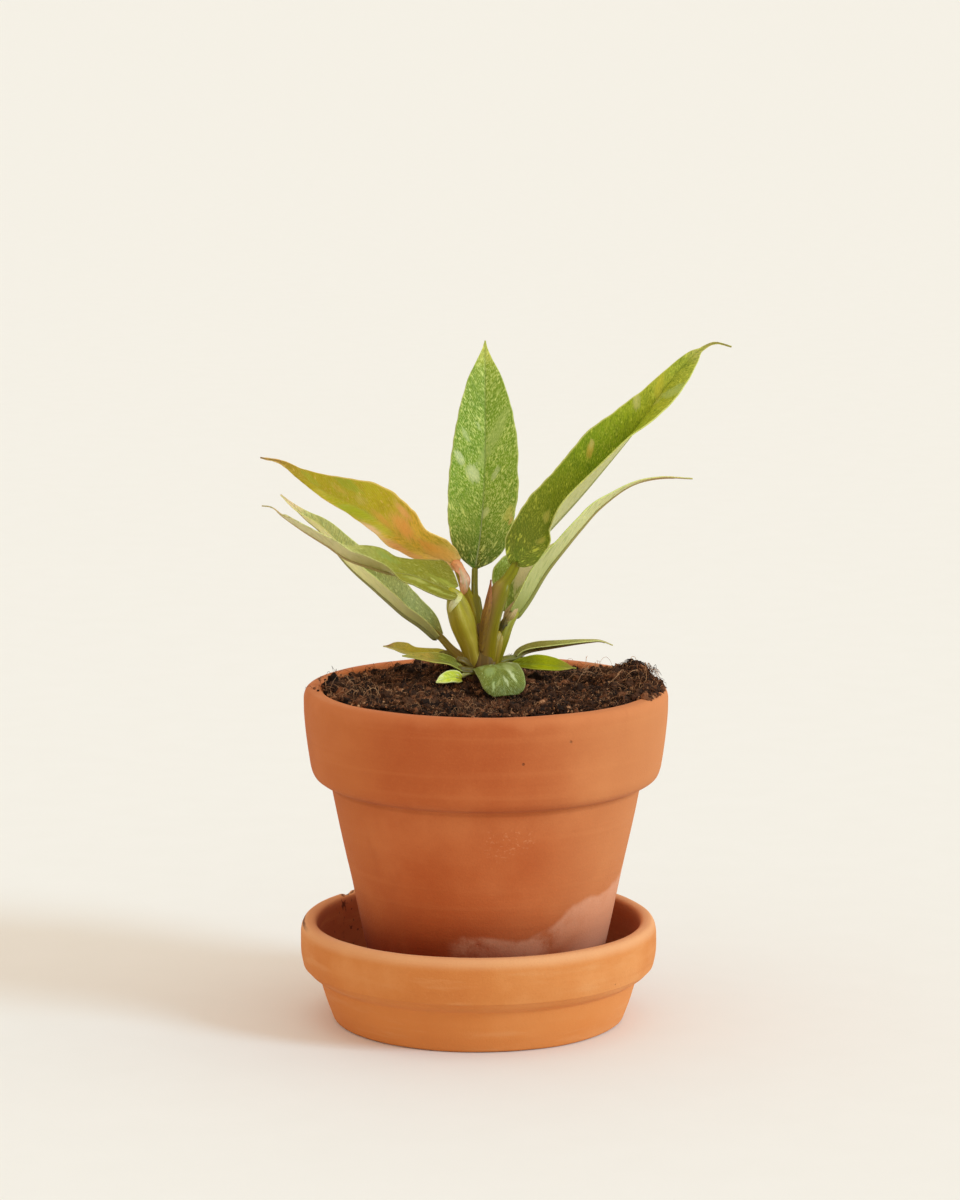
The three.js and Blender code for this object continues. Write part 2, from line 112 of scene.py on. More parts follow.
def plus(tree, one, two):
    return maths(tree, "ADD", one, two)


def minus(tree, one, two):
    return maths(tree, "SUBTRACT", one, two)


def times(tree, product, *factors):
    for factor in factors:
        product = maths(tree, "MULTIPLY", product, factor)
    return product


def between(tree, value, low, high):
    """A soft switch from 0 at low to 1 at high."""
    inputs = {"Value": value, "From Min": low, "From Max": high}
    return node(tree, "ShaderNodeMapRange", inputs, interpolation_type="SMOOTHSTEP").outputs["Result"]


def band(tree, value, low, high, soft):
    """1 between low and high, fading over soft on both sides."""
    return times(tree, between(tree, value, low - soft, low), between(tree, value, high + soft, high))


def blend(tree, amount, one, other):
    return node(tree, "ShaderNodeMix", {0: amount, 6: one, 7: other}, data_type="RGBA").outputs[2]


def coat(tree, body, colour, *covers):
    """Lays a colour over the body. The product of the covers says how much of it."""
    return blend(tree, times(tree, *covers), body, colour)


def ramp(tree, value, stops):
    made = node(tree, "ShaderNodeValToRGB", {"Fac": value})
    colours = made.color_ramp.elements
    while len(colours) < len(stops):
        colours.new(0.5)
    for element, (position, colour) in zip(colours, stops):
        element.position = position
        element.color = colour
    return made.outputs["Color"]


def clouds(tree, vector, scale, detail=3.0, rough=0.5):
    inputs = {"Vector": vector, "Scale": scale, "Detail": detail, "Roughness": rough}
    return node(tree, "ShaderNodeTexNoise", inputs).outputs["Fac"]


def stretch(tree, vector, scale):
    return node(tree, "ShaderNodeMapping", {"Vector": vector, "Scale": scale}).outputs["Vector"]


def streaked(tree, vector, scale, detail=3.0, rough=0.5):
    """Clouds drawn out along an axis: scale has a number of patches for each direction."""
    return clouds(tree, stretch(tree, vector, scale), 1.0, detail, rough)


def cells(tree, vector, scale):
    """Round cells. Gives two random numbers for each cell, and the distance from its middle."""
    made = node(tree, "ShaderNodeTexVoronoi", {"Vector": vector, "Scale": scale}).outputs
    chance = node(tree, "ShaderNodeSeparateColor", {0: made["Color"]}).outputs
    return chance[0], chance[1], made["Distance"]


def relief(tree, height, depth, strength=1.0, under=None):
    inputs = {"Height": height, "Distance": depth, "Strength": strength}
    if under is not None:
        inputs["Normal"] = under
    return node(tree, "ShaderNodeBump", inputs).outputs["Normal"]


def own_place(tree):
    """The place of each point on its own piece, in metres."""
    return tree.nodes.new("ShaderNodeTexCoord").outputs["Object"]


def stored(tree, name):
    """The outputs of the node that reads an attribute of the mesh."""
    return node(tree, "ShaderNodeAttribute", {}, attribute_name=name).outputs


def split(tree, vector):
    return node(tree, "ShaderNodeSeparateXYZ", {0: vector}).outputs[:3]


def new_finish(name, roughness, specular):
    material = bpy.data.materials.new(name)
    material.use_nodes = True
    tree = material.node_tree
    shader = tree.nodes["Principled BSDF"]
    shader.inputs["Roughness"].default_value = roughness
    shader.inputs["Specular IOR Level"].default_value = specular
    return material, tree, shader.inputs


def glow(shader, weight, depth, reach):
    """A little light travels under a skin. Reach is how far red, green and blue go, as shares of depth."""
    shader["Subsurface Weight"].default_value = weight
    shader["Subsurface Radius"].default_value = reach
    shader["Subsurface Scale"].default_value = depth


print("node helpers ready")

# %% [markdown]
# The studio is a wide pale table under two soft lamps and a pale sky. A sun lamp with a large angle is the
# same as a big soft box, and lights a wide floor evenly. The key comes from the right, a little in front. A
# weaker and much wider lamp stands low at the right and lights the edges, and the sky gives the rest. The
# sky seen by the camera is as pale as the table, so no horizon shows.

# %% The table and the lights
FLOOR_SIZE = 80.0
FLOOR_COLOUR = (0.86, 0.83, 0.785, 1.0)
FLOOR_PALER = (0.868, 0.838, 0.795, 1.0)
PAPER_GRAIN = 60.0
SKY_SEEN = (0.893, 0.852, 0.776, 1.0)
SKY_LIGHT = (0.9, 0.82, 0.71, 1.0)

clear_selection()
bpy.ops.mesh.primitive_plane_add(size=FLOOR_SIZE)
table = bpy.context.object
table.name = "studio_table"
table_finish, tree, shader = new_finish("pale_table", 0.8, 0.2)
paper = clouds(tree, own_place(tree), PAPER_GRAIN)
wire(tree, shader["Base Color"], ramp(tree, paper, [(0.3, FLOOR_COLOUR), (0.7, FLOOR_PALER)]))
table.data.materials.append(table_finish)


def sun(name, azimuth, elevation, angle, strength, colour):
    """A soft light. Azimuth 0 is the camera's side, and 90 is the right."""
    bpy.ops.object.light_add(type="SUN")
    lamp = bpy.context.object
    lamp.name = name
    around, up = math.radians(azimuth), math.radians(elevation)
    towards = Vector((math.sin(around) * math.cos(up), -math.cos(around) * math.cos(up), math.sin(up)))
    lamp.rotation_euler = towards.to_track_quat("Z", "Y").to_euler()
    lamp.data.angle = math.radians(angle)
    lamp.data.energy = strength
    lamp.data.color = colour


sun("key", azimuth=63, elevation=27, angle=17, strength=1.85, colour=(0.5, 0.78, 1.0))
sun("rim", azimuth=97, elevation=7, angle=50, strength=0.55, colour=(1.0, 0.98, 0.86))

world = bpy.data.worlds.new("studio")
bpy.context.scene.world = world
world.use_nodes = True
sky = world.node_tree.nodes["Background"]
seen = world.node_tree.nodes.new("ShaderNodeLightPath").outputs["Is Camera Ray"]
wire(world.node_tree, sky.inputs["Color"], blend(world.node_tree, seen, SKY_LIGHT, SKY_SEEN))
print("lights:", [lamp.name for lamp in bpy.data.lights])

# %% [markdown]
# ## The pottery
#
# A terracotta pot is pressed between two moulds that are both round, so it is a turned shape: one outline
# spun about an axis. A lathe could make it in one step, but here the outline is drawn as by hand, one
# extruded point after another, and spun. The corners are rounded first, because no edge of fired clay is
# sharp.


# %% Helpers for turned shapes
def rounded(corners, bits=5):
    """An outline with its corners rounded. Each corner is (radius, height, rounding)."""
    outline = []
    for i, (x, z, rounding) in enumerate(corners):
        here = np.array([x, z], float)
        if rounding == 0 or i in (0, len(corners) - 1):
            outline.append(here)
            continue
        legs = [np.array(corners[k][:2], float) - here for k in (i - 1, i + 1)]
        before, after = [leg * min(rounding / np.linalg.norm(leg), 0.5) for leg in legs]
        for t in np.linspace(0, 1, bits):
            outline.append(here + before * (1 - t) ** 2 + after * t**2)
    return np.array(outline)


def spin_outline(name, outline, axis_x, steps):
    """Extrudes an outline point by point and spins it about an upright axis. Points are in millimetres."""
    clear_selection()
    bpy.ops.mesh.primitive_plane_add(size=MM)
    piece = bpy.context.object
    piece.name = name
    bpy.ops.object.mode_set(mode="EDIT")
    bpy.ops.mesh.merge(type="CENTER")
    points = [Vector((axis_x + r, 0, z)) * MM for r, z in outline]
    bpy.ops.transform.translate(value=points[0])
    for last, point in zip(points, points[1:]):
        bpy.ops.mesh.extrude_region_move(TRANSFORM_OT_translate={"value": point - last})
    bpy.ops.mesh.select_all(action="SELECT")
    bpy.ops.mesh.spin(steps=steps, angle=math.tau, center=(axis_x * MM, 0, 0), axis=(0, 0, 1))
    bpy.ops.mesh.select_all(action="SELECT")
    bpy.ops.mesh.remove_doubles(threshold=1e-6)
    bpy.ops.mesh.normals_make_consistent(inside=False)
    bpy.ops.object.mode_set(mode="OBJECT")
    return piece


def apply_modifier(piece, kind, **settings):
    modifier = piece.modifiers.new(kind.lower(), kind)
    for key, value in settings.items():
        setattr(modifier, key, value)
    bpy.context.view_layer.objects.active = piece
    bpy.ops.object.modifier_apply(modifier=modifier.name)


def points_of(piece):
    """All vertex places of a mesh, in millimetres."""
    flat = np.empty(len(piece.data.vertices) * 3)
    piece.data.vertices.foreach_get("co", flat)
    return flat.reshape(-1, 3) / MM


def move_points(piece, points):
    piece.data.vertices.foreach_set("co", (points * MM).ravel())
    piece.data.update()


def normals_of(piece):
    flat = np.empty(len(piece.data.vertices) * 3)
    piece.data.vertices.foreach_get("normal", flat)
    return flat.reshape(-1, 3)


def bumpy(points, scale, octaves=2):
    """Smooth noise between about -1 and 1 at each point."""
    return np.array([noise.fractal(Vector(p) / scale, 0.6, 2.0, octaves) for p in points])


def smooth(piece):
    clear_selection()
    piece.select_set(True)
    bpy.context.view_layer.objects.active = piece
    bpy.ops.object.shade_smooth()


def hand_over(piece, slot, finishes, *solids):
    """Gives the piece its finishes if it has none, moves it with the root body, and hides its solids. The
    slot is not used.
    """
    if not piece.data.materials:
        for finish in finishes:
            piece.data.materials.append(finish)
    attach(piece, "root")
    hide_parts(*solids)
    faces = sum(len(face.vertices) - 2 for face in piece.data.polygons)
    print(f"{piece.name}: {faces} triangles")
    return faces


print("shape helpers ready")

# %% [markdown]
# Fired clay is never one colour. Iron burns in clouds from ochre to brick, the mould leaves faint level
# rings, and a few grains burn out and leave pits, which are painted dark for the shade in them. Each of
# these is one noise pattern, scaled to the size that the real mark has, and laid over the last. The grain is
# mostly felt, so it goes into the bump as well.


# %% The clay finish
CLOUD_SCALE, GRAIN_SCALE, SPECK_SCALE, PIT_SCALE = 30.0, 1400.0, 5200.0, 150.0
RING_STRETCH = (9.0, 9.0, 380.0)
PIT_SHARE = 0.1
PIT_SHADE = paint(70, 38, 24)


def clay_finish(name, deep, middle, pale, marks):
    material, tree, shader = new_finish(name, 0.88, 0.14)
    shader["Sheen Weight"].default_value = 0.02
    shader["Sheen Roughness"].default_value = 0.45
    place = own_place(tree)
    body = ramp(tree, clouds(tree, place, CLOUD_SCALE, 4.0, 0.55), [(0.3, deep), (0.5, middle), (0.7, pale)])
    rings = streaked(tree, place, RING_STRETCH)
    grain = clouds(tree, place, GRAIN_SCALE, 3.0, 0.6)
    body = coat(tree, body, pale, between(tree, rings, 0.5, 0.8), 0.35)
    body = coat(tree, body, deep, between(tree, rings, 0.45, 0.2), 0.3)
    body = coat(tree, body, pale, between(tree, grain, 0.5, 0.75), 0.22)
    body = coat(tree, body, deep, between(tree, grain, 0.5, 0.25), 0.2)
    # The pits are painted dark, as painted shade in their hollows, and sunk in the bump.
    chance, _, distance = cells(tree, place, PIT_SCALE)
    rare = maths(tree, "GREATER_THAN", chance, 1 - PIT_SHARE)
    pit = times(tree, rare, between(tree, distance, 0.075, 0.03))
    body = marks(tree, place, coat(tree, body, PIT_SHADE, pit, 0.55))
    wire(tree, shader["Base Color"], body)
    wire(tree, shader["Roughness"], ramp(tree, grain, [(0.3, (0.78,) * 3 + (1,)), (0.7, (0.94,) * 3 + (1,))]))
    normal = relief(tree, rings, 0.00025, 0.5)
    normal = relief(tree, grain, 0.00022, 0.55, normal)
    normal = relief(tree, clouds(tree, place, SPECK_SCALE, 2.0, 0.5), 0.00008, 0.6, normal)
    wire(tree, shader["Normal"], relief(tree, minus(tree, 1.0, pit), 0.0004, 0.8, normal))
    return material


# %% [markdown]
# Use leaves its marks on top, and some light and shade is painted in with them. The right side is painted
# paler where the lamps fall on it, with a little dry haze, and the left edge warmer for the light that
# bounces onto it. Salts from the water dry on the pot's front as a pale line and a film, the foot is damp
# and painted darker for the shade of the saucer, a line of painted shade runs along the crease under the
# band, the lip is painted lighter for the light from above and for dusty wear, and hands rub one place of
# the wall. Each mark is bounded by soft switches on the place, in metres: x to the right, y to the back, z
# up. A slow wander keeps the bounds from running straight.


# %% The marks on the pot
def pot_marks(tree, place, body):
    x, y, z = split(tree, place)
    front = between(tree, y, 0.004, -0.006)
    wander = minus(tree, times(tree, clouds(tree, place, 55.0), 0.012), 0.006)
    x_loose, z_loose = plus(tree, x, wander), plus(tree, z, wander)

    lit_right_paint, bounce_lit_left = paint(212, 142, 88), paint(196, 116, 62)
    # Painted light: the right side is painted paler where the lamps fall on it, with a little dry haze.
    body = coat(tree, body, lit_right_paint, between(tree, x_loose, 0.004, 0.054), 0.6)
    # Painted light: the left edge is painted warmer and lighter for the light that bounces onto it.
    body = coat(tree, body, bounce_lit_left, between(tree, x_loose, -0.018, -0.042), 0.55)
    middle = between(tree, maths(tree, "ABSOLUTE", x), 0.03, 0.016)
    body = coat(tree, body, paint(176, 74, 26), between(tree, z, 0.068, 0.060), middle, 0.2)

    damp_and_shaded_foot, crease_shade = paint(128, 38, 12), paint(128, 58, 24)
    # The lower wall is damp, and painted darker as well for the shade that the saucer casts on it.
    body = coat(tree, body, damp_and_shaded_foot, between(tree, minus(tree, z, wander), 0.046, 0.02), 0.8)
    body = coat(tree, body, crease_shade, band(tree, z, 0.0706, 0.0722, 0.0009), 0.2)

    salt_line, salt_film = paint(206, 144, 112), paint(222, 156, 122)
    tide = plus(tree, 0.0318, times(tree, between(tree, x, 0.010, 0.046), 0.0150))
    below = plus(tree, minus(tree, tide, z), wander)
    salt = times(tree, between(tree, below, -0.0008, 0.0014), between(tree, below, 0.010, 0.001))
    crusts = between(tree, clouds(tree, place, 130.0, 5.0, 0.65), 0.3, 0.6)
    body = coat(tree, body, salt_line, salt, band(tree, x, -0.004, 0.05, 0.006), crusts, front, 0.6)
    film = times(tree, between(tree, below, -0.0004, 0.0016), between(tree, x, 0.020, 0.036))
    body = coat(tree, body, salt_film, film, front, 0.55)

    lit_and_worn_lip, sooty, rubbed_pale = paint(212, 130, 80), paint(168, 86, 46), paint(222, 150, 104)
    # The lip is painted lighter, partly as painted light from above and partly as dusty wear.
    body = coat(tree, body, lit_and_worn_lip, between(tree, z_loose, 0.0955, 0.1), 0.35)
    soot = streaked(tree, place, (60.0, 60.0, 30.0), 5.0, 0.6)
    body = coat(tree, body, sooty, between(tree, soot, 0.58, 0.78), 0.3)
    scratch = between(tree, streaked(tree, place, (700.0, 700.0, 1000.0), 4.0, 0.75), 0.54, 0.64)
    rubbed = times(tree, band(tree, x_loose, 0.005, 0.012, 0.005), band(tree, z_loose, 0.0605, 0.064, 0.004))
    return coat(tree, body, rubbed_pale, rubbed, front, scratch, 0.36)


# %% [markdown]
# The saucer's foot is painted lighter for the light that the floor bounces onto it, its lip lighter for the
# light from above and for wear, and its inside darker with painted shade and damp, and it is worn in level
# streaks. At the back left it has a crack and dark spots of algae, and on the left the seam under the lip is
# painted dark. The crack and the seam get a jag, which is a finer wander.


# %% The marks on the saucer
def saucer_marks(tree, place, body):
    x, y, z = split(tree, place)
    radius = maths(tree, "SQRT", plus(tree, times(tree, x, x), times(tree, y, y)))

    bounce_lit_foot, lit_and_worn_rim, shaded_inside = paint(216, 134, 70), paint(232, 174, 126), paint(186, 108, 74)
    # Painted light: the foot is painted lighter for the light that the floor bounces onto it.
    body = coat(tree, body, bounce_lit_foot, between(tree, z, 0.0160, 0.0120), 0.6)
    # The lip top is painted paler, partly as painted light from above and partly as wear.
    body = coat(tree, body, lit_and_worn_rim, between(tree, z, 0.0262, 0.0292), 0.6)
    inner = between(tree, minus(tree, radius, times(tree, z, 0.5)), 0.0405, 0.0395)
    body = coat(tree, body, shaded_inside, inner, between(tree, radius, 0.0490, 0.0476), 0.75)

    crack_dark, algae, dark_seam = paint(66, 32, 22), paint(70, 34, 22), paint(84, 40, 24)
    jag = times(tree, minus(tree, clouds(tree, place, 260.0), 0.5), 0.004)
    beside = maths(tree, "ABSOLUTE", plus(tree, plus(tree, x, 0.0412), jag))
    crack = times(tree, between(tree, beside, 0.0006, 0.0002), between(tree, z, 0.0185, 0.022))
    gaps = between(tree, clouds(tree, place, 300.0, 2.0), 0.42, 0.52)
    body = coat(tree, body, crack_dark, crack, between(tree, y, 0.018, 0.022), gaps, 0.8)
    spots = between(tree, clouds(tree, place, 420.0, 2.0), 0.62, 0.7)
    back_left = times(tree, between(tree, y, 0.012, 0.024), band(tree, x, -0.046, -0.036, 0.002))
    body = coat(tree, body, algae, spots, back_left, 0.7)
    # On the left, the seam under the lip is painted dark.
    under_lip = band(tree, minus(tree, z, times(tree, jag, 0.25)), 0.0287, 0.0292, 0.0004)
    seam = times(tree, under_lip, between(tree, radius, 0.051, 0.0515))
    at_left = times(tree, between(tree, y, -0.016, -0.002), between(tree, x, -0.026, -0.036))
    body = coat(tree, body, dark_seam, seam, at_left, 0.85)

    worn = between(tree, streaked(tree, place, (40.0, 40.0, 260.0), 4.0, 0.6), 0.52, 0.72)
    return coat(tree, body, paint(220, 154, 98), worn, 0.4)


pot_clay = clay_finish(
    "fired_clay_pot", paint(176, 85, 42), paint(185, 96, 50), paint(199, 113, 64), pot_marks,
)
saucer_clay = clay_finish(
    "fired_clay_saucer", paint(200, 117, 58), paint(209, 129, 67), paint(220, 147, 87), saucer_marks,
)
print("clay finishes:", pot_clay.name, saucer_clay.name)

# %% [markdown]
# The pot is a tapered cup with a drain hole, a crease, and a heavy band under a soft lip. After the spin,
# one level of subdivision rounds it, and a slow noise moves the wall by a tenth of a millimetre, because
# clay shrinks unevenly in the kiln and a perfect circle looks machined.

# %% The pot
POT_AXIS = 2.2
POT_BASE, POT_INNER_FLOOR = 6.3, 13.3
POT_TOP, POT_MOUTH = 100.0, 48.0
POT_INNER_BASE = 28.5
LIP_HEIGHT = 98.8
DRAIN_HOLE = 6.0
WALL_STEPS = 88
KILN_WARP, KILN_RIPPLE = 0.12, 0.035


def inner_radius(height):
    share = (height - POT_INNER_FLOOR) / (LIP_HEIGHT - POT_INNER_FLOOR)
    return POT_INNER_BASE + share * (POT_MOUTH - POT_INNER_BASE)


pot_corners = [
    (DRAIN_HOLE, POT_BASE, 0),
    (DRAIN_HOLE + 0.6, POT_BASE, 0.3),
    (32.2, POT_BASE, 1.1),
    (33.0, 9.5, 1.0),
    (35.6, 21.4, 4),
    (39.4, 39.8, 4),
    (43.7, 59.7, 4),
    (45.9, 71.0, 0.35),
    (46.6, 71.6, 0.35),
    (48.9, 72.4, 1.2),
    (51.0, 74.0, 1.0),
    (51.9, 76.4, 1.2),
    (53.1, 84.0, 4),
    (54.0, 92.5, 4),
    (54.0, 97.9, 1.0),
    (53.0, POT_TOP, 1.4),
    (49.0, POT_TOP, 1.2),
    (POT_MOUTH, LIP_HEIGHT, 0.8),
    (inner_radius(92), 92, 3),
    (inner_radius(60), 60, 4),
    (inner_radius(30), 30, 4),
    (POT_INNER_BASE + 0.3, POT_INNER_FLOOR, 1.5),
    (DRAIN_HOLE + 0.6, POT_INNER_FLOOR, 0.3),
    (DRAIN_HOLE, POT_INNER_FLOOR - 0.6, 0.3),
    (DRAIN_HOLE, POT_BASE + 0.6, 0.3),
    (DRAIN_HOLE, POT_BASE, 0),
]


def warp(piece, amount, fine):
    points, normals = points_of(piece), normals_of(piece)
    slow = bumpy(points, 26.0) * amount + bumpy(points + 70.0, 7.0) * fine
    move_points(piece, points + normals * slow[:, None])


pot = spin_outline("pot_wall", rounded(pot_corners), POT_AXIS, WALL_STEPS)
apply_modifier(pot, "SUBSURF", levels=1, render_levels=1)
warp(pot, KILN_WARP, KILN_RIPPLE)
smooth(pot)
triangles = hand_over(pot, "terracotta_pot", [pot_clay], "pot")

# %% [markdown]
# The saucer comes from the same kiln: a flared foot, a crease, and a band whose lip has a fine seam where
# the upper mould ended. This one is chipped at the back left. The chip is made by pushing the rim's points
# down inside a small ball, which is what a knock does.

# %% The saucer
SAUCER_CHIP = np.array([-40.6, 31.0, 30.4])
CHIP_SIZE, CHIP_DEPTH = 2.3, 1.7
BACK_RISE = 0.8

saucer_corners = [
    (0, 0, 0),
    (30, 0, 0),
    (42.2, 0, 0.5),
    (43.3, 0.4, 0.5),
    (45.4, 5.9, 2),
    (47.4, 12.6, 0.3),
    (47.9, 13.1, 0.3),
    (50.4, 14.6, 1.2),
    (51.8, 16.2, 0.3),
    (52.2, 16.5, 0.3),
    (52.7, 18.8, 1),
    (53.05, 21, 2),
    (53.05, 26.6, 0.8),
    (52.75, 28.1, 0.3),
    (52.55, 28.35, 0.12),
    (52.5, 28.6, 0.2),
    (51.9, 29.6, 0.6),
    (50.9, 30.0, 0.9),
    (49.2, 29.9, 1.0),
    (48.2, 29.1, 1.0),
    (47.2, 20, 3),
    (44, 9.5, 3),
    (41, 6, 2.4),
    (20, 6, 0),
    (0, 6, 0),
]
saucer = spin_outline("saucer_dish", rounded(saucer_corners), 0.0, WALL_STEPS)
apply_modifier(saucer, "SUBSURF", levels=1, render_levels=1)
warp(saucer, KILN_WARP, KILN_RIPPLE)
points = points_of(saucer)
points[:, 2] += BACK_RISE * np.clip(points[:, 1] / 50, 0, 1) * np.clip((points[:, 2] - 14) / 15, 0, 1)
near = np.linalg.norm(points - SAUCER_CHIP, axis=1) / CHIP_SIZE
points[:, 2] -= CHIP_DEPTH * np.clip(1 - near**2, 0, 1) ** 0.7
points[:, 2] = np.maximum(points[:, 2], 0)
move_points(saucer, points)
smooth(saucer)
triangles += hand_over(saucer, "terracotta_saucer", [saucer_clay], "saucer")

# %% [markdown]
# ## The potting soil
#
# Peat is a heap of crumbs and threads, and its outline is what the eye reads. One bumpy surface would look
# like a cake, so it is built in layers: a bed that fills the pot and mounds up, thousands of crumbs half
# sunk in it, a few clods, and fine root threads that stand out against the light.


# %% The height of the soil
SOIL_LEVEL = 99.6
SWELLINGS = [
    (2, 6, 1.8, 17),
    (45.5, 10.5, 4.2, 7),
    (30, 30, -0.6, 9),
    (-35, 28, -0.9, 13),
    (-7.5, 19, 6.2, 3.4),
    (9.5, 18, 4.6, 2.8),
    (-41, 2, 2.4, 4),
    (44, 2, 1.6, 5),
    (22, -36, 1.5, 5),
    (-20, -34, 1.2, 6),
    (-24, -14, -1, 6),
    (6, -18.5, -2.4, 6.5),
]


def soil_height(x, y):
    height = np.full_like(x, SOIL_LEVEL)
    for centre_x, centre_y, rise, reach in SWELLINGS:
        height += rise * np.exp(-((x - centre_x) ** 2 + (y - centre_y) ** 2) / (2 * reach * reach))
    lumps = np.sin(x / 3.1 + 1.3 * np.sin(y / 5.2)) * np.cos(y / 2.7 - 0.8 * np.sin(x / 4.4))
    return height + 0.75 * lumps + 0.35 * np.sin(x / 1.9 + y / 2.3)


def peat_finish(name):
    """Dark peat. Each crumb carries its own tone, from near black to rust, as a painted attribute."""
    material, tree, shader = new_finish(name, 0.95, 0.15)
    mottle = clouds(tree, own_place(tree), 700.0, 4.0, 0.65)
    mixed = plus(tree, times(tree, stored(tree, "tone")["Fac"], 0.65), times(tree, mottle, 0.5))
    colours = [
        (0.2, paint(24, 15, 11)),
        (0.4, paint(51, 32, 22)),
        (0.58, paint(85, 54, 35)),
        (0.76, paint(136, 84, 53)),
        (0.95, paint(206, 152, 108)),
    ]
    wire(tree, shader["Base Color"], ramp(tree, mixed, colours))
    wire(tree, shader["Normal"], relief(tree, mottle, 0.0006, 0.9))
    return material


peat = peat_finish("peat")
print("soil height at the crown:", round(float(soil_height(np.array([2.0]), np.array([6.0]))[0]), 1), "mm")

# %% [markdown]
# The bed is spun like the pot, from the floor up the wall and in over the top. Its top is then lifted to
# the soil's height, with a hard noise for the small hollows, and each ring ends just inside the pot's wall.

# %% The soil bed
SOIL_GAP = 0.3
BED_RINGS, BED_STEPS = 96, 260
BED_TONE = 0.12
widest = inner_radius(SOIL_LEVEL) - SOIL_GAP
bed_outline = [(0, POT_INNER_FLOOR + SOIL_GAP), (POT_INNER_BASE - SOIL_GAP, POT_INNER_FLOOR + SOIL_GAP)]
bed_outline += [(inner_radius(60) - SOIL_GAP, 60)]
bed_outline += [(widest * ring / BED_RINGS, SOIL_LEVEL) for ring in range(BED_RINGS, -1, -1)]
bed = spin_outline("soil_bed", bed_outline, POT_AXIS, BED_STEPS)
points = points_of(bed)
top = points[:, 2] > SOIL_LEVEL - 1
x, y = points[top, 0] - POT_AXIS, points[top, 1]
reach, angle = np.hypot(x, y) / widest, np.arctan2(y, x)
rim_height = soil_height(POT_AXIS + widest * np.cos(angle), widest * np.sin(angle))
edge = inner_radius(np.minimum(rim_height, LIP_HEIGHT)) - SOIL_GAP - 0.1
x, y = POT_AXIS + reach * edge * np.cos(angle), reach * edge * np.sin(angle)
height = soil_height(x, y)
flat = np.stack([x, y, height], 1)
hollows = np.array([noise.hetero_terrain(Vector(p) / 2.4, 0.8, 2.1, 4, 0.7) for p in flat])
inwards = np.clip((1 - reach) / 0.04, 0, 1)
height = height - 1.0 + 1.0 * (hollows - hollows.mean()) * inwards
points[top] = np.stack([x, y, height], 1)
move_points(bed, points)
tone = bed.data.attributes.new("tone", "FLOAT", "POINT")
tone.data.foreach_set("value", np.full(len(points), BED_TONE))
smooth(bed)
triangles += hand_over(bed, "potting_soil", [peat], "soil")

# %% [markdown]
# ## The leaves
#
# Every blade of this plant has the same lance shape, but each one folds, rolls and turns in its own way. So
# one recipe makes them all: a midrib drawn as a smooth route through a few points, a half width along it, a
# fold on each side, and a roll about the midrib. A flat grid is laid over the recipe, as cloth over a
# pattern.


# %% Routes and smooth numbers
def eased(knots, u):
    """A smooth curve that never overshoots through knots (position, value), or a constant."""
    u = np.asarray(u, float)
    if isinstance(knots, (int, float)):
        return np.full_like(u, float(knots))
    x, y = np.array(knots, float).T
    steps = np.diff(y) / np.diff(x)
    slopes = np.concatenate([steps[:1], np.zeros(len(x) - 2), steps[-1:]])
    for i in range(1, len(x) - 1):
        before, after = steps[i - 1], steps[i]
        slopes[i] = 0 if before * after <= 0 else 2 * before * after / (before + after)
    u = np.clip(u, x[0], x[-1])
    i = np.clip(np.searchsorted(x, u, side="right") - 1, 0, len(x) - 2)
    width = x[i + 1] - x[i]
    t = (u - x[i]) / width
    rise = width * (t * (1 - t) ** 2 * slopes[i] - t * t * (1 - t) * slopes[i + 1])
    return y[i] + (y[i + 1] - y[i]) * t * t * (3 - 2 * t) + rise


ROUTE_STEPS = 400
STEP_ALONG = 0.004


def route(points, u):
    """Places and directions along a smooth line through points, at shares u of its length."""
    knots = np.array(points, float)
    knots = np.vstack([2 * knots[0] - knots[1], knots, 2 * knots[-1] - knots[-2]])
    spans = len(points) - 1
    t = np.linspace(0, spans, ROUTE_STEPS + 1)
    i = np.minimum(t.astype(int), spans - 1)
    f = (t - i)[:, None]
    a, b, c, d = (knots[i + k] for k in range(4))
    first, second = (c - a) / 2, (d - b) / 2
    cubic, square = 2 * b - 2 * c + first + second, 3 * c - 3 * b - 2 * first - second
    line = cubic * f**3 + square * f**2 + first * f + b
    walked = np.concatenate([[0], np.cumsum(np.linalg.norm(np.diff(line, axis=0), axis=1))])
    length = walked[-1]

    def at(share):
        return np.stack([np.interp(np.clip(share, 0, 1) * length, walked, line[:, k]) for k in range(3)], 1)

    along = at(u + STEP_ALONG) - at(u - STEP_ALONG)
    return at(u), along / np.linalg.norm(along, axis=1)[:, None], length


def directions(points, u, facing, roll):
    """The place, the direction along, the upper side and the right side at each share u of a route."""
    place, along, length = route(points, u)
    facing = np.array(facing, float) / np.linalg.norm(facing)
    upper = facing - (along @ facing)[:, None] * along
    upper /= np.linalg.norm(upper, axis=1)[:, None]
    turn = np.radians(eased(roll, u))[:, None]
    upper = upper * np.cos(turn) + np.cross(along, upper) * np.sin(turn)
    return place, along, upper, np.cross(along, upper), length


trial = route([(0, 0, 0), (1, 0, 0), (2, 0, 0)], np.array([0.5]))
print("a route of three points is", round(trial[2], 2), "long")

# %% [markdown]
# The real blades have a sunken midrib, faint side veins that leave it at a steep angle, a margin that is a
# little uneven, and a slow waviness. These are small, but they catch the light, so they are shaped in the
# mesh and not only painted. Two attributes are stored with every point: `skin`, the place on the leaf in
# millimetres, and `paint`, the large patches of colour, brushed on as soft ellipses.

# %% One recipe for every blade
FRONT = (0, -1, 0.17)
MIN_HALF_WIDTH = 0.25
RIPPLES = 3.5
LOBE_LENGTH = 0.18
VEIN_ANGLE = math.radians(27)
VEIN_PITCH = 2.6
MIDRIB_GROOVE, GROOVE_WIDTH = 0.3, 0.75
LEAF_LIFT = 1.15
PATCH_GROUND = (150, 170, 70)


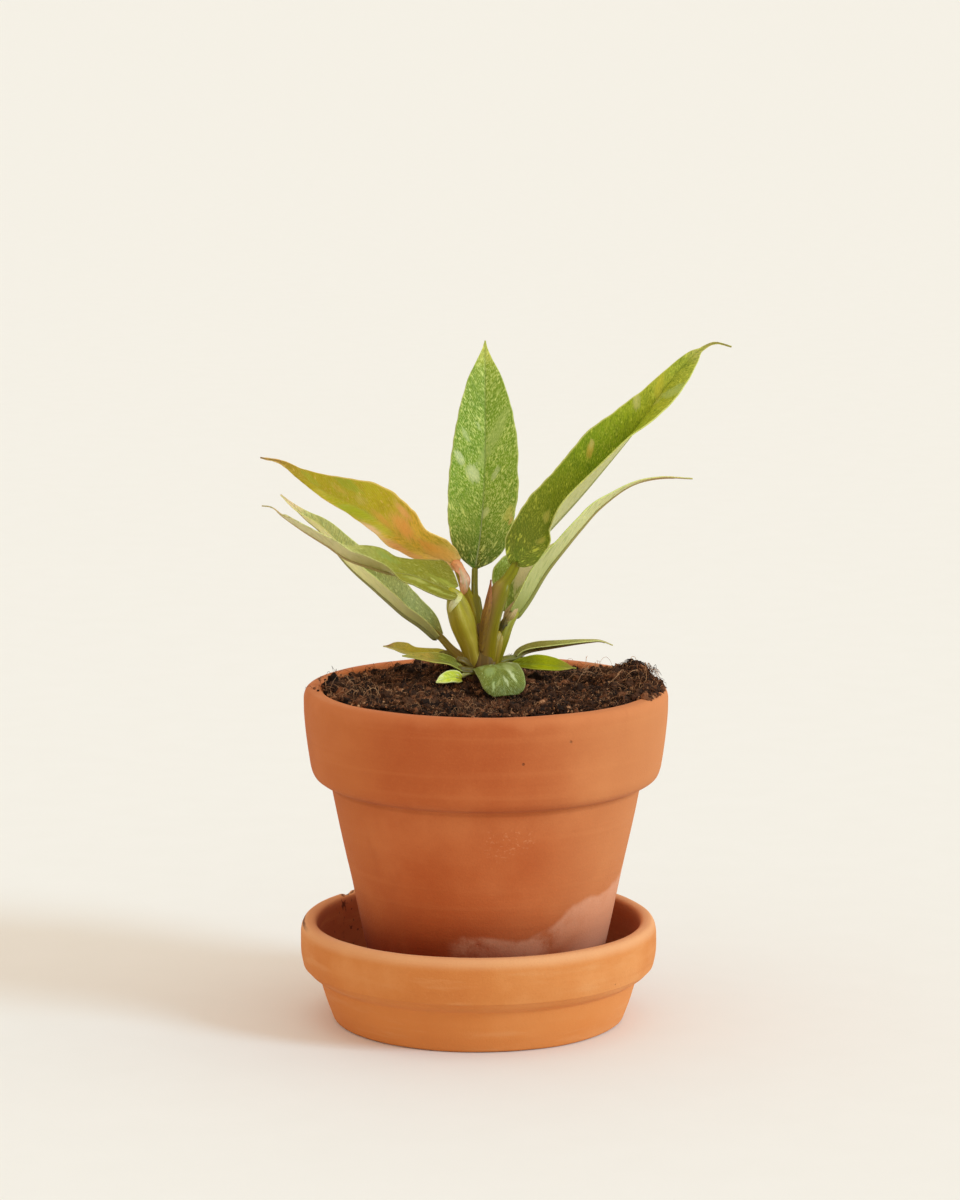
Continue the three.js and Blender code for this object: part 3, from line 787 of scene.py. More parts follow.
def side_value(leaf, key, v, u, fallback):
    """A value that may differ between the left (v below 0) and the right half of a leaf."""
    sides = [eased(leaf.get(f"{side}_{key}", leaf.get(key, fallback)), u) for side in ("left", "right")]
    return np.where(v < 0, *sides)


def midrib_of(leaf, u):
    return directions(leaf["midrib"], u, leaf.get("facing", FRONT), leaf.get("roll", 0))


def wavering(across, along, seed):
    """Slow noise over a blade, its own for each seed."""
    return np.array([noise.noise(Vector((a, b, seed))) for a, b in zip(across, along)])


def blade_points(leaf, u, v):
    place, along, upper, right, length = midrib_of(leaf, u)
    part = np.abs(v)
    half = leaf["half_width"] * eased(leaf["shape"], u) * side_value(leaf, "share", v, u, 1)
    half = np.maximum(half, MIN_HALF_WIDTH)
    fold = np.radians(side_value(leaf, "fold", v, u, 12)) + np.radians(leaf.get("curl", 0)) * part / 2
    across, distance = half * v, u * length
    slant = distance * math.cos(VEIN_ANGLE) - np.abs(across) * math.sin(VEIN_ANGLE)
    wave = np.sin(math.pi * u) * np.sin(math.tau * RIPPLES * u)
    height = leaf.get("ripple", 0) * wave * part**2
    off_edges = np.minimum(1, 4 * part * (1 - part))
    height += leaf.get("veins", 0.04) * np.cos(math.tau * slant / VEIN_PITCH) * off_edges
    height -= MIDRIB_GROOVE * leaf.get("groove", 1) * np.exp(-((across / GROOVE_WIDTH) ** 2)) * (1 - u)
    seed = leaf["seed"]
    margin = wavering(np.sign(v) * 0.45, distance * 0.3, seed)
    half = half * (1 + leaf.get("ragged", 0.035) * margin * part**4)
    sway = wavering(across * 0.07, distance * 0.055, seed + 9.0)
    height += leaf.get("sway", 0.35) * sway * part
    lobe = side_value(leaf, "lobe", v, u, 0) * part**1.5 * np.clip(1 - u / LOBE_LENGTH, 0, 1) ** 2
    points = place + right * (np.sign(v) * half * part * np.cos(fold))[:, None]
    points += upper * (half * part * np.sin(fold) + height)[:, None] - along * lobe[:, None]
    return points, across, distance, length


def patch_colours(leaf, across, distance, length):
    """Soft ellipses of colour, one over another, lying along the side veins."""
    colour = np.tile(np.array(paint(*PATCH_GROUND)), (len(across), 1))
    colour[:, 3] = 0
    for patch_u, patch_v, long, wide, tint, strength in leaf.get("patches", []):
        tint = np.array(paint(*tint, leaf.get("lift", LEAF_LIFT)))[:3]
        centre_u = np.array([patch_u])
        half = leaf["half_width"] * eased(leaf["shape"], centre_u)[0]
        side = 1 if patch_v >= 0 else -1
        turn = VEIN_ANGLE * leaf.get("patch_slant", 1)
        off_across = (across - patch_v * half) * side
        off_along = distance - patch_u * length
        s = off_across * math.sin(turn) + off_along * math.cos(turn)
        t = off_across * math.cos(turn) - off_along * math.sin(turn)
        away = (s / (long / 2)) ** 2 + (t / (wide / 2)) ** 2
        cover = (strength / (1 + away**2))[:, None]
        colour[:, :3] = colour[:, :3] * (1 - cover) + tint * cover
        colour[:, 3:] = np.maximum(colour[:, 3:], cover)
    return colour


print("vein pitch in mm:", VEIN_PITCH)

# %% [markdown]
# The grid gets its thickness from a Solidify modifier, which also gives the underside a finish of its own,
# while the rim takes the upper one. Under each blade runs a round rib that carries the stalk on to the tip,
# so it is a tapering tube that is joined to the blade.


# %% Sheets and tubes
def grid(name, columns, rows):
    clear_selection()
    bpy.ops.mesh.primitive_grid_add(x_subdivisions=columns, y_subdivisions=rows, size=2)
    piece = bpy.context.object
    piece.name = name
    unit = points_of(piece) * MM
    return piece, unit[:, 0], (unit[:, 1] + 1) / 2


def store(piece, name, values):
    kind = {1: "FLOAT", 3: "FLOAT_VECTOR", 4: "FLOAT_COLOR"}[values.shape[1] if values.ndim > 1 else 1]
    field = {"FLOAT": "value", "FLOAT_VECTOR": "vector", "FLOAT_COLOR": "color"}[kind]
    piece.data.attributes.new(name, kind, "POINT").data.foreach_set(field, values.ravel())


def tube(name, path, radius, facing=FRONT, around=16, rows=60, section=None, roll=0):
    """A closed tube along a path. A section function may shape its cross-section by angle and share."""
    piece, unit, u = grid(name, around, rows)
    angle = unit * math.pi
    place, along, upper, right, length = directions(path, u, facing, roll)
    ends = np.sqrt(np.clip(1 - np.clip(1 - np.minimum(u, 1 - u) * rows / 2, 0, 1) ** 2, 0, 1))
    reach = eased(radius, u) * ends
    if section:
        reach = reach * section(angle, u)
    points = place + right * (reach * np.sin(angle))[:, None] + upper * (reach * np.cos(angle))[:, None]
    move_points(piece, points)
    store(piece, "skin", np.stack([np.sin(angle), np.cos(angle), u * length], 1))
    bpy.ops.object.mode_set(mode="EDIT")
    bpy.ops.mesh.select_all(action="SELECT")
    bpy.ops.mesh.remove_doubles(threshold=1e-6)
    bpy.ops.mesh.normals_make_consistent(inside=False)
    bpy.ops.object.mode_set(mode="OBJECT")
    return piece


def join(pieces):
    clear_selection()
    for piece in pieces:
        piece.select_set(True)
    bpy.context.view_layer.objects.active = pieces[0]
    bpy.ops.object.join()
    return pieces[0]


print("sheet and tube helpers ready")

# %% [markdown]
# A blade's upper skin is glossy and full of pale dashes that follow the side veins. A Voronoi pattern gives
# single dashes when it is squeezed across the veins and drawn out along them. Patches come from the painted
# attribute, with their edges broken by the same streaks. A little subsurface light lets the thin leaf glow.


# %% The leaf finishes
LEAF_DEPTH, LEAF_REACH = 0.0012, (1.0, 0.8, 0.25)
MARGIN = (196, 194, 118)


def leaf_coordinates(tree):
    across, along, share = split(tree, stored(tree, "skin")["Vector"])
    out = maths(tree, "ABSOLUTE", across)
    side = times(tree, maths(tree, "SIGN", across), 40.0)
    sine, cosine = math.sin(VEIN_ANGLE), math.cos(VEIN_ANGLE)
    t = minus(tree, times(tree, out, cosine), times(tree, along, sine))
    s = plus(tree, times(tree, out, sine), times(tree, along, cosine))
    veins = node(tree, "ShaderNodeCombineXYZ", {0: t, 1: s, 2: side}).outputs[0]
    return veins, out, along, share


def dashes(tree, veins, wide, long, amount, seed):
    """Short pale dashes, wide by long millimetres, in a random share of all places."""
    wobble = clouds(tree, veins, 0.6, 2.0)
    moved = node(tree, "ShaderNodeVectorMath", {0: veins, 1: (seed * 11.0, seed * 7.0, 0)}, operation="ADD")
    moved = node(tree, "ShaderNodeVectorMath", {0: moved.outputs[0], 1: wobble}, operation="ADD").outputs[0]
    chance, strength, distance = cells(tree, stretch(tree, moved, (1 / wide, 1 / long, 1.0)), 1.0)
    there = between(tree, chance, 1 - amount, 1.03 - amount)
    there = times(tree, there, plus(tree, 0.45, times(tree, strength, 0.55)))
    return times(tree, there, between(tree, distance, 0.5, 0.24))


def leaf_side(name, leaf, length, roughness, shine, colours):
    """What both sides of a blade share: the colours from base to tip, the glow and the leaf's own tints."""
    material, tree, shader = new_finish(name, roughness, shine)
    glow(shader, 0.12, LEAF_DEPTH, LEAF_REACH)
    lift = leaf.get("lift", LEAF_LIFT)
    veins, out, along, share = leaf_coordinates(tree)
    u = maths(tree, "DIVIDE", along, length)
    body = ramp(tree, u, [(at, paint(*colour, lift)) for at, colour in colours])

    def tint(key, usual):
        return paint(*leaf.get(key, usual), lift)

    return material, tree, shader, body, tint, veins, out, share


def finish_side(tree, shader, leaf, body, tint, veins, share, margin_at):
    """The coloured margin, and the faint ribs. Returns the height of the ribs."""
    margin = between(tree, share, margin_at, 0.985)
    body = coat(tree, body, tint("margin", MARGIN), margin, leaf.get("margin_amount", 0.5))
    wire(tree, shader["Base Color"], body)
    inputs = {"Scale": 0.62, "Distortion": 0.6, "Detail": 1.0}
    inputs["Vector"] = stretch(tree, veins, (1.0, 0.02, 0.1))
    return node(tree, "ShaderNodeTexWave", inputs).outputs["Fac"]


def upper_finish(name, leaf, length):
    side = leaf_side(name, leaf, length, 0.5, leaf.get("shine", 0.22), leaf["colours"])
    material, tree, shader, body, tint, veins, out, share = side
    dark, fleck = tint("dark", (92, 114, 34)), tint("fleck", (182, 196, 112))
    streaks = streaked(tree, veins, (0.9, 0.16, 1.0), 4.0, 0.6)
    fine = streaked(tree, veins, (3.2, 0.9, 1.0), 3.0, 0.6)
    body = coat(tree, body, dark, between(tree, streaks, 0.56, 0.3), leaf.get("mottle", 0.5))
    body = coat(tree, body, dark, between(tree, fine, 0.5, 0.36), 0.6)
    amount, speck = leaf.get("flecks", 0.2), leaf.get("speck", 0.3)
    if speck:
        spray = between(tree, streaked(tree, veins, (4.4, 1.0, 2.0), 3.0, 0.65), 0.51, 0.57)
        zone = between(tree, streaked(tree, veins, (0.16, 0.07, 1.0)), 0.3, 0.62)
        body = coat(tree, body, fleck, spray, plus(tree, 0.35, times(tree, zone, 0.65)), speck)
    if amount:
        body = coat(tree, body, fleck, dashes(tree, veins, 0.45, 1.6, amount, 1), 0.7)
        body = coat(tree, body, fleck, dashes(tree, veins, 0.8, 3.6, amount * 0.4, 2), 0.65)
    painted = stored(tree, "paint")
    edge = streaked(tree, veins, (2.2, 0.55, 1.0), 5.0, 0.7)
    rough_edge = plus(tree, minus(tree, streaks, 0.5), minus(tree, edge, 0.5))
    broken = plus(tree, painted["Alpha"], times(tree, rough_edge, leaf.get("broken", 1.5)))
    soft = leaf.get("soft", 0.16)
    cover = between(tree, broken, 0.5 - soft, 0.5 + soft)
    body = coat(tree, body, painted["Color"], cover, leaf.get("patch_cover", 0.75))
    rib = between(tree, out, 0.55, 0.1)
    body = coat(tree, body, tint("midrib_colour", (104, 118, 50)), rib, leaf.get("midrib_amount", 0.3))
    ribs = finish_side(tree, shader, leaf, body, tint, veins, share, leaf.get("margin_at", 0.95))
    bump = relief(tree, ribs, 0.00012, 0.5)
    wire(tree, shader["Normal"], relief(tree, fine, 0.00008, 0.45, bump))
    return material


def under_finish(name, leaf, length):
    side = leaf_side(name, leaf, length, 0.6, 0.18, leaf["under"])
    material, tree, shader, body, tint, veins, out, share = side
    green = tint("under_green", (136, 158, 92))
    streaks = streaked(tree, veins, (1.1, 0.2, 1.0), 4.0, 0.6)
    body = coat(tree, body, green, between(tree, streaks, 0.48, 0.68), leaf.get("under_mottle", 0.55))
    fine = streaked(tree, veins, (3.0, 0.7, 1.0), 3.0, 0.6)
    body = coat(tree, body, green, between(tree, fine, 0.45, 0.7), 0.25)
    ribs = finish_side(tree, shader, leaf, body, tint, veins, share, 0.95)
    wire(tree, shader["Normal"], relief(tree, ribs, 0.00015, 0.6))
    return material


print("leaf finishes ready")

# %% [markdown]
# Young stalks are smooth and slightly glossy, with long streaks of olive, yellow and tan. The same streaks
# run round the rib under each blade. The pattern reads the angle round the stalk and the distance along it.


# %% The stalk finish
STALK_LIFT = 1.1
STALK_DEPTH, STALK_REACH = 0.0015, (1.0, 0.75, 0.2)


def stalk_finish(name, low, high, streak, length, tan=None, tan_turn=0.0):
    """Colours from low to high along the stalk. Tan is a brown flush on the side that tan_turn points to."""
    low_paint, high_paint, streak_paint = (paint(*colour, STALK_LIFT) for colour in (low, high, streak))
    shade = paint(*[c * 0.7 for c in low], STALK_LIFT)
    material, tree, shader = new_finish(name, 0.38, 0.25)
    glow(shader, 0.15, STALK_DEPTH, STALK_REACH)
    skin = stored(tree, "skin")["Vector"]
    sine, cosine, along = split(tree, skin)
    u = maths(tree, "DIVIDE", along, length)
    body = ramp(tree, u, [(0.0, low_paint), (1.0, high_paint)])
    long = clouds(tree, stretch(tree, skin, (1.6, 1.6, 0.05)), 1.6, 4.0, 0.6)
    body = coat(tree, body, streak_paint, between(tree, long, 0.5, 0.75), 0.8)
    body = coat(tree, body, shade, between(tree, long, 0.5, 0.25), 0.45)
    if tan is not None:
        turned = plus(tree, times(tree, sine, math.sin(tan_turn)), times(tree, cosine, math.cos(tan_turn)))
        flush = times(tree, between(tree, turned, -0.1, 0.8), between(tree, u, 0.8, 0.62))
        body = coat(tree, body, paint(*tan, STALK_LIFT), flush)
    fleck = streaked(tree, skin, (6.0, 6.0, 1.2), 3.0, 0.6)
    body = coat(tree, body, streak_paint, between(tree, fleck, 0.6, 0.75), 0.35)
    wire(tree, shader["Base Color"], body)
    wire(tree, shader["Normal"], relief(tree, long, 0.0002, 0.5))
    return material


print("stalk finish ready")

# %% [markdown]
# The leaf table follows. Each entry repeats the values of its solid, so that the dressed leaf lies where
# the solid lies, and adds the look of that one leaf: its colours from base to tip, its dashes, and its
# patches as (share along, share across, length, width, colour, strength).

# %% The upright leaf and the two on the right
LEAVES = {}
LEAVES["leaf_upright"] = dict(
    slot="leaf_green",
    midrib=[
        (-1, 17, 132.5), (0.5, 16.5, 142.5), (1.5, 17, 154.5), (2, 18.5, 169), (2, 21, 186.5),
        (2, 25, 200),
    ],
    half_width=10.9,
    shape=[
        (0, 0.06), (0.05, 0.52), (0.12, 0.8), (0.23, 0.96), (0.33, 1), (0.53, 0.92), (0.66, 0.78),
        (0.83, 0.48), (0.925, 0.2), (0.97, 0.07), (1, 0.01),
    ],
    right_share=[(0, 0.9), (0.5, 0.97), (0.66, 1.03), (0.83, 1), (1, 0.8)],
    fold=12,
    patch_cover=0.6,
    colours=[
        (0, (72, 84, 26)), (0.08, (90, 110, 30)), (0.2, (114, 142, 36)), (0.4, (116, 146, 30)),
        (0.7, (108, 138, 26)), (0.88, (128, 148, 40)), (0.94, (186, 184, 76)),
    ],
    fleck=(212, 218, 124),
    flecks=0.42,
    speck=0.66,
    dark=(82, 116, 18),
    under=[(0, (150, 160, 100)), (1, (170, 176, 100))],
    midrib_colour=(106, 118, 50),
    midrib_amount=0.4,
    patches=[
        # The long greyish patch right of the midrib is a painted highlight.
        (0.58, 0.28, 22, 4.4, (158, 172, 92), 0.75),
        (0.49, -0.76, 5.5, 2.4, (200, 206, 156), 1), (0.42, -0.32, 6, 3.8, (210, 214, 162), 1),
        (0.425, 0.33, 5.5, 1.8, (190, 198, 140), 0.9), (0.25, 0.08, 4, 1.9, (198, 204, 140), 0.9),
        (0.26, 0.76, 6.5, 2.4, (206, 196, 96), 0.85), (0.23, 0.84, 3, 1.3, (226, 178, 108), 0.85),
        (0.585, -0.62, 5, 1.6, (190, 202, 140), 0.85), (0.63, -0.25, 4, 1.2, (190, 202, 140), 0.8),
    ],
    seed=3.1,
)
LEAVES["leaf_right_large"] = dict(
    slot="leaf_olive",
    midrib=[
        (11.5, 4, 136.5), (20.5, 3, 146), (28.5, 1, 155), (35.5, -1, 163.5), (45.5, -5, 176.5),
        (55, -9, 190.5), (61, -11, 198), (65, -12, 201.5), (68.5, -13, 203), (73, -14, 202),
    ],
    half_width=11,
    shape=[
        (0, 0.14), (0.015, 0.46), (0.045, 0.78), (0.1, 0.94), (0.2, 1), (0.5, 0.98), (0.6, 0.88), (0.7, 0.66),
        (0.8, 0.45), (0.87, 0.22), (0.9, 0.07), (1, 0.01),
    ],
    left_share=[
        (0, 0.85), (0.1, 0.93), (0.2, 1), (0.45, 1), (0.55, 0.87), (0.62, 0.8), (0.7, 0.68), (0.8, 0.6),
        (1, 1),
    ],
    left_fold=[(0, 10), (1, 15)],
    left_lobe=2.2,
    right_lobe=1.0,
    right_share=[(0, 0.6), (0.05, 0.5), (0.1, 0.36), (0.14, 0.36), (0.2, 0.8), (0.25, 1), (1, 1)],
    right_fold=[
        (0, 12), (0.09, 16), (0.125, 45), (0.16, 92), (0.3, 104), (0.45, 98), (0.56, 92), (0.66, 72),
        (0.74, 50), (0.85, 30), (1, 10),
    ],
    lift=1.62,
    colours=[
        (0, (84, 92, 22)), (0.1, (92, 104, 20)), (0.25, (106, 120, 12)), (0.45, (108, 132, 10)),
        (0.6, (130, 144, 26)), (0.7, (142, 146, 34)), (0.84, (128, 138, 40)), (0.9, (156, 152, 84)),
        (0.97, (130, 98, 62)),
    ],
    fleck=(176, 180, 66),
    flecks=0.17,
    speck=0.45,
    groove=0.35,
    dark=(74, 96, 6),
    patch_cover=0.6,
    under=[(0, (160, 158, 104)), (0.5, (164, 160, 106)), (0.8, (156, 158, 88)), (1, (130, 98, 62))],
    under_green=(130, 134, 70),
    midrib_colour=(92, 104, 16),
    patches=[
        (0.17, -0.3, 5, 2.2, (180, 172, 80), 0.9), (0.1, 0.05, 4, 2, (160, 148, 62), 0.8),
        (0.43, -0.62, 6.5, 2.2, (186, 146, 54), 0.9), (0.45, -0.7, 3.6, 0.9, (200, 180, 120), 0.9),
        (0.65, -0.55, 6, 2.2, (184, 174, 112), 0.9), (0.68, 0.1, 5, 1.5, (164, 166, 80), 0.8),
        (0.73, -0.3, 12, 3, (170, 158, 40), 0.85), (0.36, 0.3, 4, 1.2, (170, 144, 48), 0.85),
        (0.75, 0.6, 13, 3.4, (140, 154, 92), 0.8),
    ],
    seed=5.3,
)
LEAVES["leaf_right_slim"] = dict(
    slot="leaf_green",
    midrib=[
        (10.5, 12, 118.5), (14.5, 14, 123.5), (20, 17, 132), (25.5, 20, 138.5), (30.5, 23, 144),
        (36.5, 26, 150), (45.5, 29, 156), (54.5, 31, 158), (64.5, 33, 157.5),
    ],
    half_width=10.5,
    shape=[
        (0, 0.6), (0.04, 0.8), (0.1, 0.95), (0.2, 1), (0.35, 0.95), (0.5, 0.84), (0.58, 0.65),
        (0.65, 0.4), (0.73, 0.2), (0.82, 0.1), (1, 0.01),
    ],
    left_share=[(0, 1.1), (0.06, 1.25), (0.15, 1.42), (0.24, 1.34), (0.35, 0.84), (0.5, 0.5), (1, 0.45)],
    left_fold=[(0, 45), (0.15, 45), (0.3, 28), (0.45, 19), (1, 15)],
    right_fold=[(0, 45), (0.15, 45), (0.3, 22), (0.45, 12), (1, 10)],
    roll=[(0, -65), (0.15, -65), (0.3, -85), (0.45, -93), (1, -95)],
    lift=1.42,
    colours=[
        (0, (110, 126, 34)), (0.3, (126, 144, 40)), (0.6, (150, 160, 74)), (0.8, (176, 166, 100)),
        (0.92, (160, 112, 74)),
    ],
    speck=0.6,
    under=[
        (0, (134, 136, 62)), (0.12, (164, 162, 98)), (0.45, (188, 184, 126)), (0.75, (190, 186, 130)),
        (0.85, (170, 136, 92)), (1, (120, 84, 60)),
    ],
    under_green=(132, 140, 72),
    under_mottle=0.75,
    patches=[
        (0.2, -0.55, 14, 6, (222, 196, 164), 0.95), (0.08, -0.3, 4, 2, (204, 204, 136), 0.8),
        (0.32, -0.7, 10, 4, (208, 198, 146), 0.9),
    ],
    patch_slant=0.3,
    seed=7.7,
)
print("leaves so far:", len(LEAVES))

# %% The three long leaves on the left
LEAVES["leaf_left_orange"] = dict(
    slot="leaf_orange",
    midrib=[
        (-6, 13, 134), (-11.5, 13.5, 136), (-17.5, 14, 138.5), (-23.5, 15, 142.5), (-34, 16, 150),
        (-45.5, 18, 155.5), (-53, 19, 160), (-59, 20, 164), (-65, 20.5, 165.5),
    ],
    half_width=9.4,
    shape=[
        (0, 0.3), (0.04, 0.62), (0.1, 0.82), (0.2, 0.95), (0.33, 1), (0.45, 1), (0.56, 0.8),
        (0.68, 0.56), (0.8, 0.27), (0.87, 0.15), (0.93, 0.06), (1, 0.01),
    ],
    right_fold=[(0, 30), (0.1, 40), (0.2, 48), (0.32, 20), (0.5, 12), (1, 10)],
    left_share=[
        (0, 0.45), (0.05, 0.3), (0.1, 0.26), (0.17, 0.34), (0.25, 0.4), (0.32, 0.46), (0.38, 0.4),
        (0.5, 0.38), (1, 0.45),
    ],
    left_fold=[(0, 15), (0.1, 0), (0.2, -12), (0.32, 0), (0.5, 6), (0.88, 8), (1, 10)],
    lift=1.4,
    left_lobe=1.5,
    ripple=0.5,
    ragged=0.06,
    veins=0.06,
    groove=0.15,
    colours=[
        (0, (250, 188, 124)), (0.06, (252, 186, 92)), (0.15, (236, 174, 64)), (0.3, (196, 156, 46)),
        (0.42, (164, 148, 20)), (0.6, (144, 138, 10)), (0.75, (150, 136, 16)), (0.88, (144, 116, 34)),
        (0.94, (140, 98, 60)), (0.98, (104, 66, 42)),
    ],
    fleck=(196, 164, 84),
    flecks=0.08,
    speck=0.3,
    dark=(146, 128, 14),
    mottle=0.8,
    under=[(0, (226, 176, 146)), (0.4, (218, 170, 120)), (0.8, (176, 146, 80)), (1, (104, 66, 42))],
    under_green=(200, 150, 90),
    margin=(214, 176, 108),
    margin_amount=0.5,
    margin_at=0.93,
    midrib_colour=(150, 130, 46),
    midrib_amount=0.15,
    patches=[
        (0.1, 0.25, 12, 8, (232, 164, 82), 0.95), (0.02, -0.5, 9, 6, (226, 174, 136), 1),
        (0.06, 0.4, 5, 4, (228, 164, 84), 0.7),
        (0.25, -0.32, 18, 3, (200, 136, 88), 0.95), (0.42, -0.36, 9, 2.4, (214, 162, 136), 0.95),
        (0.3, 0.35, 12, 5, (214, 142, 72), 0.9), (0.16, 0.4, 10, 3.4, (220, 146, 66), 0.8),
        (0.4, 0.1, 9, 2.6, (206, 138, 62), 0.8), (0.34, 0.75, 8, 2.4, (216, 150, 92), 0.85),
        (0.62, 0.4, 7, 2, (186, 142, 52), 0.7), (0.7, -0.2, 6, 1.6, (176, 146, 40), 0.7),
        (0.52, 0.3, 5, 3, (180, 150, 70), 0.7), (0.22, -0.1, 7, 2.0, (168, 142, 30), 0.6),
        (0.5, -0.15, 12, 3.2, (140, 144, 14), 0.9), (0.6, 0.75, 10, 2.6, (136, 138, 20), 0.85),
        (0.36, -0.12, 8, 2.2, (152, 146, 18), 0.8), (0.76, 0.35, 7, 1.6, (146, 138, 18), 0.8),
    ],
    patch_slant=0.3,
    broken=1.0,
    soft=0.35,
    seed=11.9,
)
LEAVES["leaf_left_green"] = dict(
    slot="leaf_olive",
    midrib=[
        (-7.5, -1.5, 128.6), (-14.5, -3.5, 131.9), (-20, -5.5, 134.2), (-26, -7.5, 135.5),
        (-37.5, -12, 139.8), (-43.5, -14.5, 144.1), (-50, -17, 148.5), (-56, -19, 153),
        (-59.5, -20, 156), (-62.5, -20.5, 156.6),
    ],
    half_width=8.6,
    shape=[
        (0, 0.26), (0.015, 0.6), (0.04, 0.86), (0.08, 0.98), (0.15, 1), (0.35, 1), (0.5, 0.9), (0.6, 0.75),
        (0.7, 0.6),
        (0.8, 0.52), (0.87, 0.4), (0.9, 0.12), (1, 0.01),
    ],
    left_fold=[(0, 7), (0.25, 7), (0.4, 22), (0.6, 26), (1, 15)],
    lift=1.25,
    right_share=[
        (0, 1.5), (0.05, 1.55), (0.1, 1.3), (0.16, 1.0), (0.22, 0.84), (0.28, 0.92), (0.34, 0.9),
        (0.42, 0.82),
    ],
    right_fold=[(0, 5), (0.25, 10), (0.42, 42), (0.55, 25), (1, 15)],
    roll=[(0, 60), (0.25, 63), (0.42, 80), (0.6, 88), (1, 90)],
    right_lobe=1.8,
    left_lobe=1.2,
    colours=[
        (0, (110, 100, 4)), (0.12, (114, 106, 8)), (0.25, (122, 118, 16)), (0.38, (134, 130, 34)),
        (0.48, (166, 162, 88)), (0.6, (178, 174, 106)), (0.85, (186, 180, 124)), (0.92, (176, 146, 104)),
    ],
    fleck=(178, 176, 96),
    flecks=0.06,
    speck=0.35,
    dark=(104, 104, 28),
    under=[
        (0, (132, 128, 46)), (0.25, (140, 139, 58)), (0.42, (162, 156, 88)), (0.58, (192, 184, 130)),
        (0.88, (200, 194, 150)), (0.94, (196, 166, 126)), (1, (190, 156, 116)),
    ],
    under_green=(150, 151, 84),
    under_mottle=0.4,
    midrib_colour=(128, 128, 60),
    margin=(196, 188, 136),
    margin_amount=0.15,
    patches=[
        (0.2, -0.35, 8, 3, (170, 162, 86), 0.85), (0.1, -0.55, 7, 2.4, (164, 158, 80), 0.8),
        (0.32, 0.6, 9, 3, (104, 112, 46), 0.6), (0.05, 0.3, 8, 2.6, (150, 142, 50), 0.7),
    ],
    patch_slant=0.2,
    soft=0.3,
    seed=13.3,
)
LEAVES["leaf_left_folded"] = dict(
    slot="leaf_green",
    midrib=[
        (-12, 10, 112.5), (-17, 11.5, 116.5), (-22, 13.5, 119.5), (-26.5, 15.5, 123), (-31, 18, 126.5),
        (-39, 22, 133), (-47, 26.5, 142), (-52, 28.5, 146), (-59.5, 31, 153),
    ],
    half_width=8,
    shape=[
        (0, 0.3), (0.07, 0.65), (0.15, 0.82), (0.25, 0.95), (0.4, 1), (0.5, 0.95), (0.65, 0.72),
        (0.8, 0.42), (0.9, 0.2), (1, 0.01),
    ],
    left_fold=[(0, 47), (0.8, 47), (0.92, 20), (1, 10)],
    right_fold=[(0, 42), (0.8, 42), (0.92, 20), (1, 10)],
    roll=62,
    lift=2.0,
    colours=[
        (0, (112, 112, 50)), (0.2, (130, 136, 84)), (0.5, (120, 124, 62)), (0.85, (146, 142, 84)),
        (0.95, (178, 140, 112)),
    ],
    fleck=(170, 176, 118),
    flecks=0.15,
    speck=0.4,
    dark=(92, 104, 54),
    under=[
        (0, (124, 122, 68)), (0.15, (148, 146, 94)), (0.5, (182, 178, 124)), (0.85, (172, 164, 112)),
        (0.95, (186, 144, 120)),
    ],
    under_green=(142, 148, 90),
    midrib_colour=(108, 104, 58),
    midrib_amount=0.5,
    patches=[(0.5, 0.5, 12, 3, (118, 126, 66), 0.8), (0.6, 0.35, 8, 2.4, (182, 182, 106), 0.85)],
    patch_slant=0.2,
    seed=17.9,
)
print("leaves so far:", len(LEAVES))

# %% [markdown]
# The little leaves round the foot are older and shorter. They take the same recipe with a coarser grid. The
# one in front hangs over the soil like a tongue, so it faces up and curls down at both margins.

# %% The little leaves
LOW = dict(fold=15, veins=0.03, groove=0.6, sway=0.25, small=True)
LEAVES["leaf_low_left_back"] = dict(
    LOW, slot="leaf_olive",
    midrib=[
        (-10, 12.5, 107.8), (-13.5, 13, 107.4), (-17.5, 13.5, 107.5), (-21.5, 14, 107.9),
        (-25, 15, 108.9), (-28.5, 16, 109.2),
    ],
    half_width=4,
    shape=[(0, 0.3), (0.15, 0.6), (0.45, 0.65), (0.68, 1), (0.85, 0.6), (0.94, 0.15), (1, 0.02)],
    roll=65,
    lift=2.2,
    colours=[(0, (128, 122, 20)), (0.5, (140, 126, 26)), (0.82, (138, 122, 46)), (0.93, (110, 66, 42))],
    flecks=0,
    fleck=(160, 148, 64),
    dark=(108, 102, 34),
    under=[(0, (136, 130, 60)), (0.85, (144, 134, 66)), (0.95, (112, 70, 46))],
    seed=19.1,
)
LEAVES["leaf_low_left_front"] = dict(
    LOW, slot="leaf_green",
    midrib=[
        (-5, 0, 105), (-6.5, -0.5, 106.2), (-9, -1, 107.5), (-13, -1.5, 108.2), (-18, -2, 109),
        (-22.5, -2.5, 109.5),
    ],
    half_width=3.1,
    shape=[(0, 0.4), (0.2, 0.8), (0.45, 1), (0.7, 0.7), (0.88, 0.35), (1, 0.02)],
    roll=62,
    lift=1.6,
    colours=[
        (0, (86, 78, 16)), (0.35, (92, 92, 18)), (0.6, (148, 120, 46)), (0.85, (150, 128, 54)),
        (1, (150, 140, 76)),
    ],
    fleck=(140, 146, 60),
    flecks=0.05,
    dark=(78, 84, 20),
    under=[(0, (112, 106, 52)), (1, (140, 134, 72))],
    margin=(168, 166, 80),
    margin_amount=0.7,
    margin_at=0.88,
    seed=23.7,
)
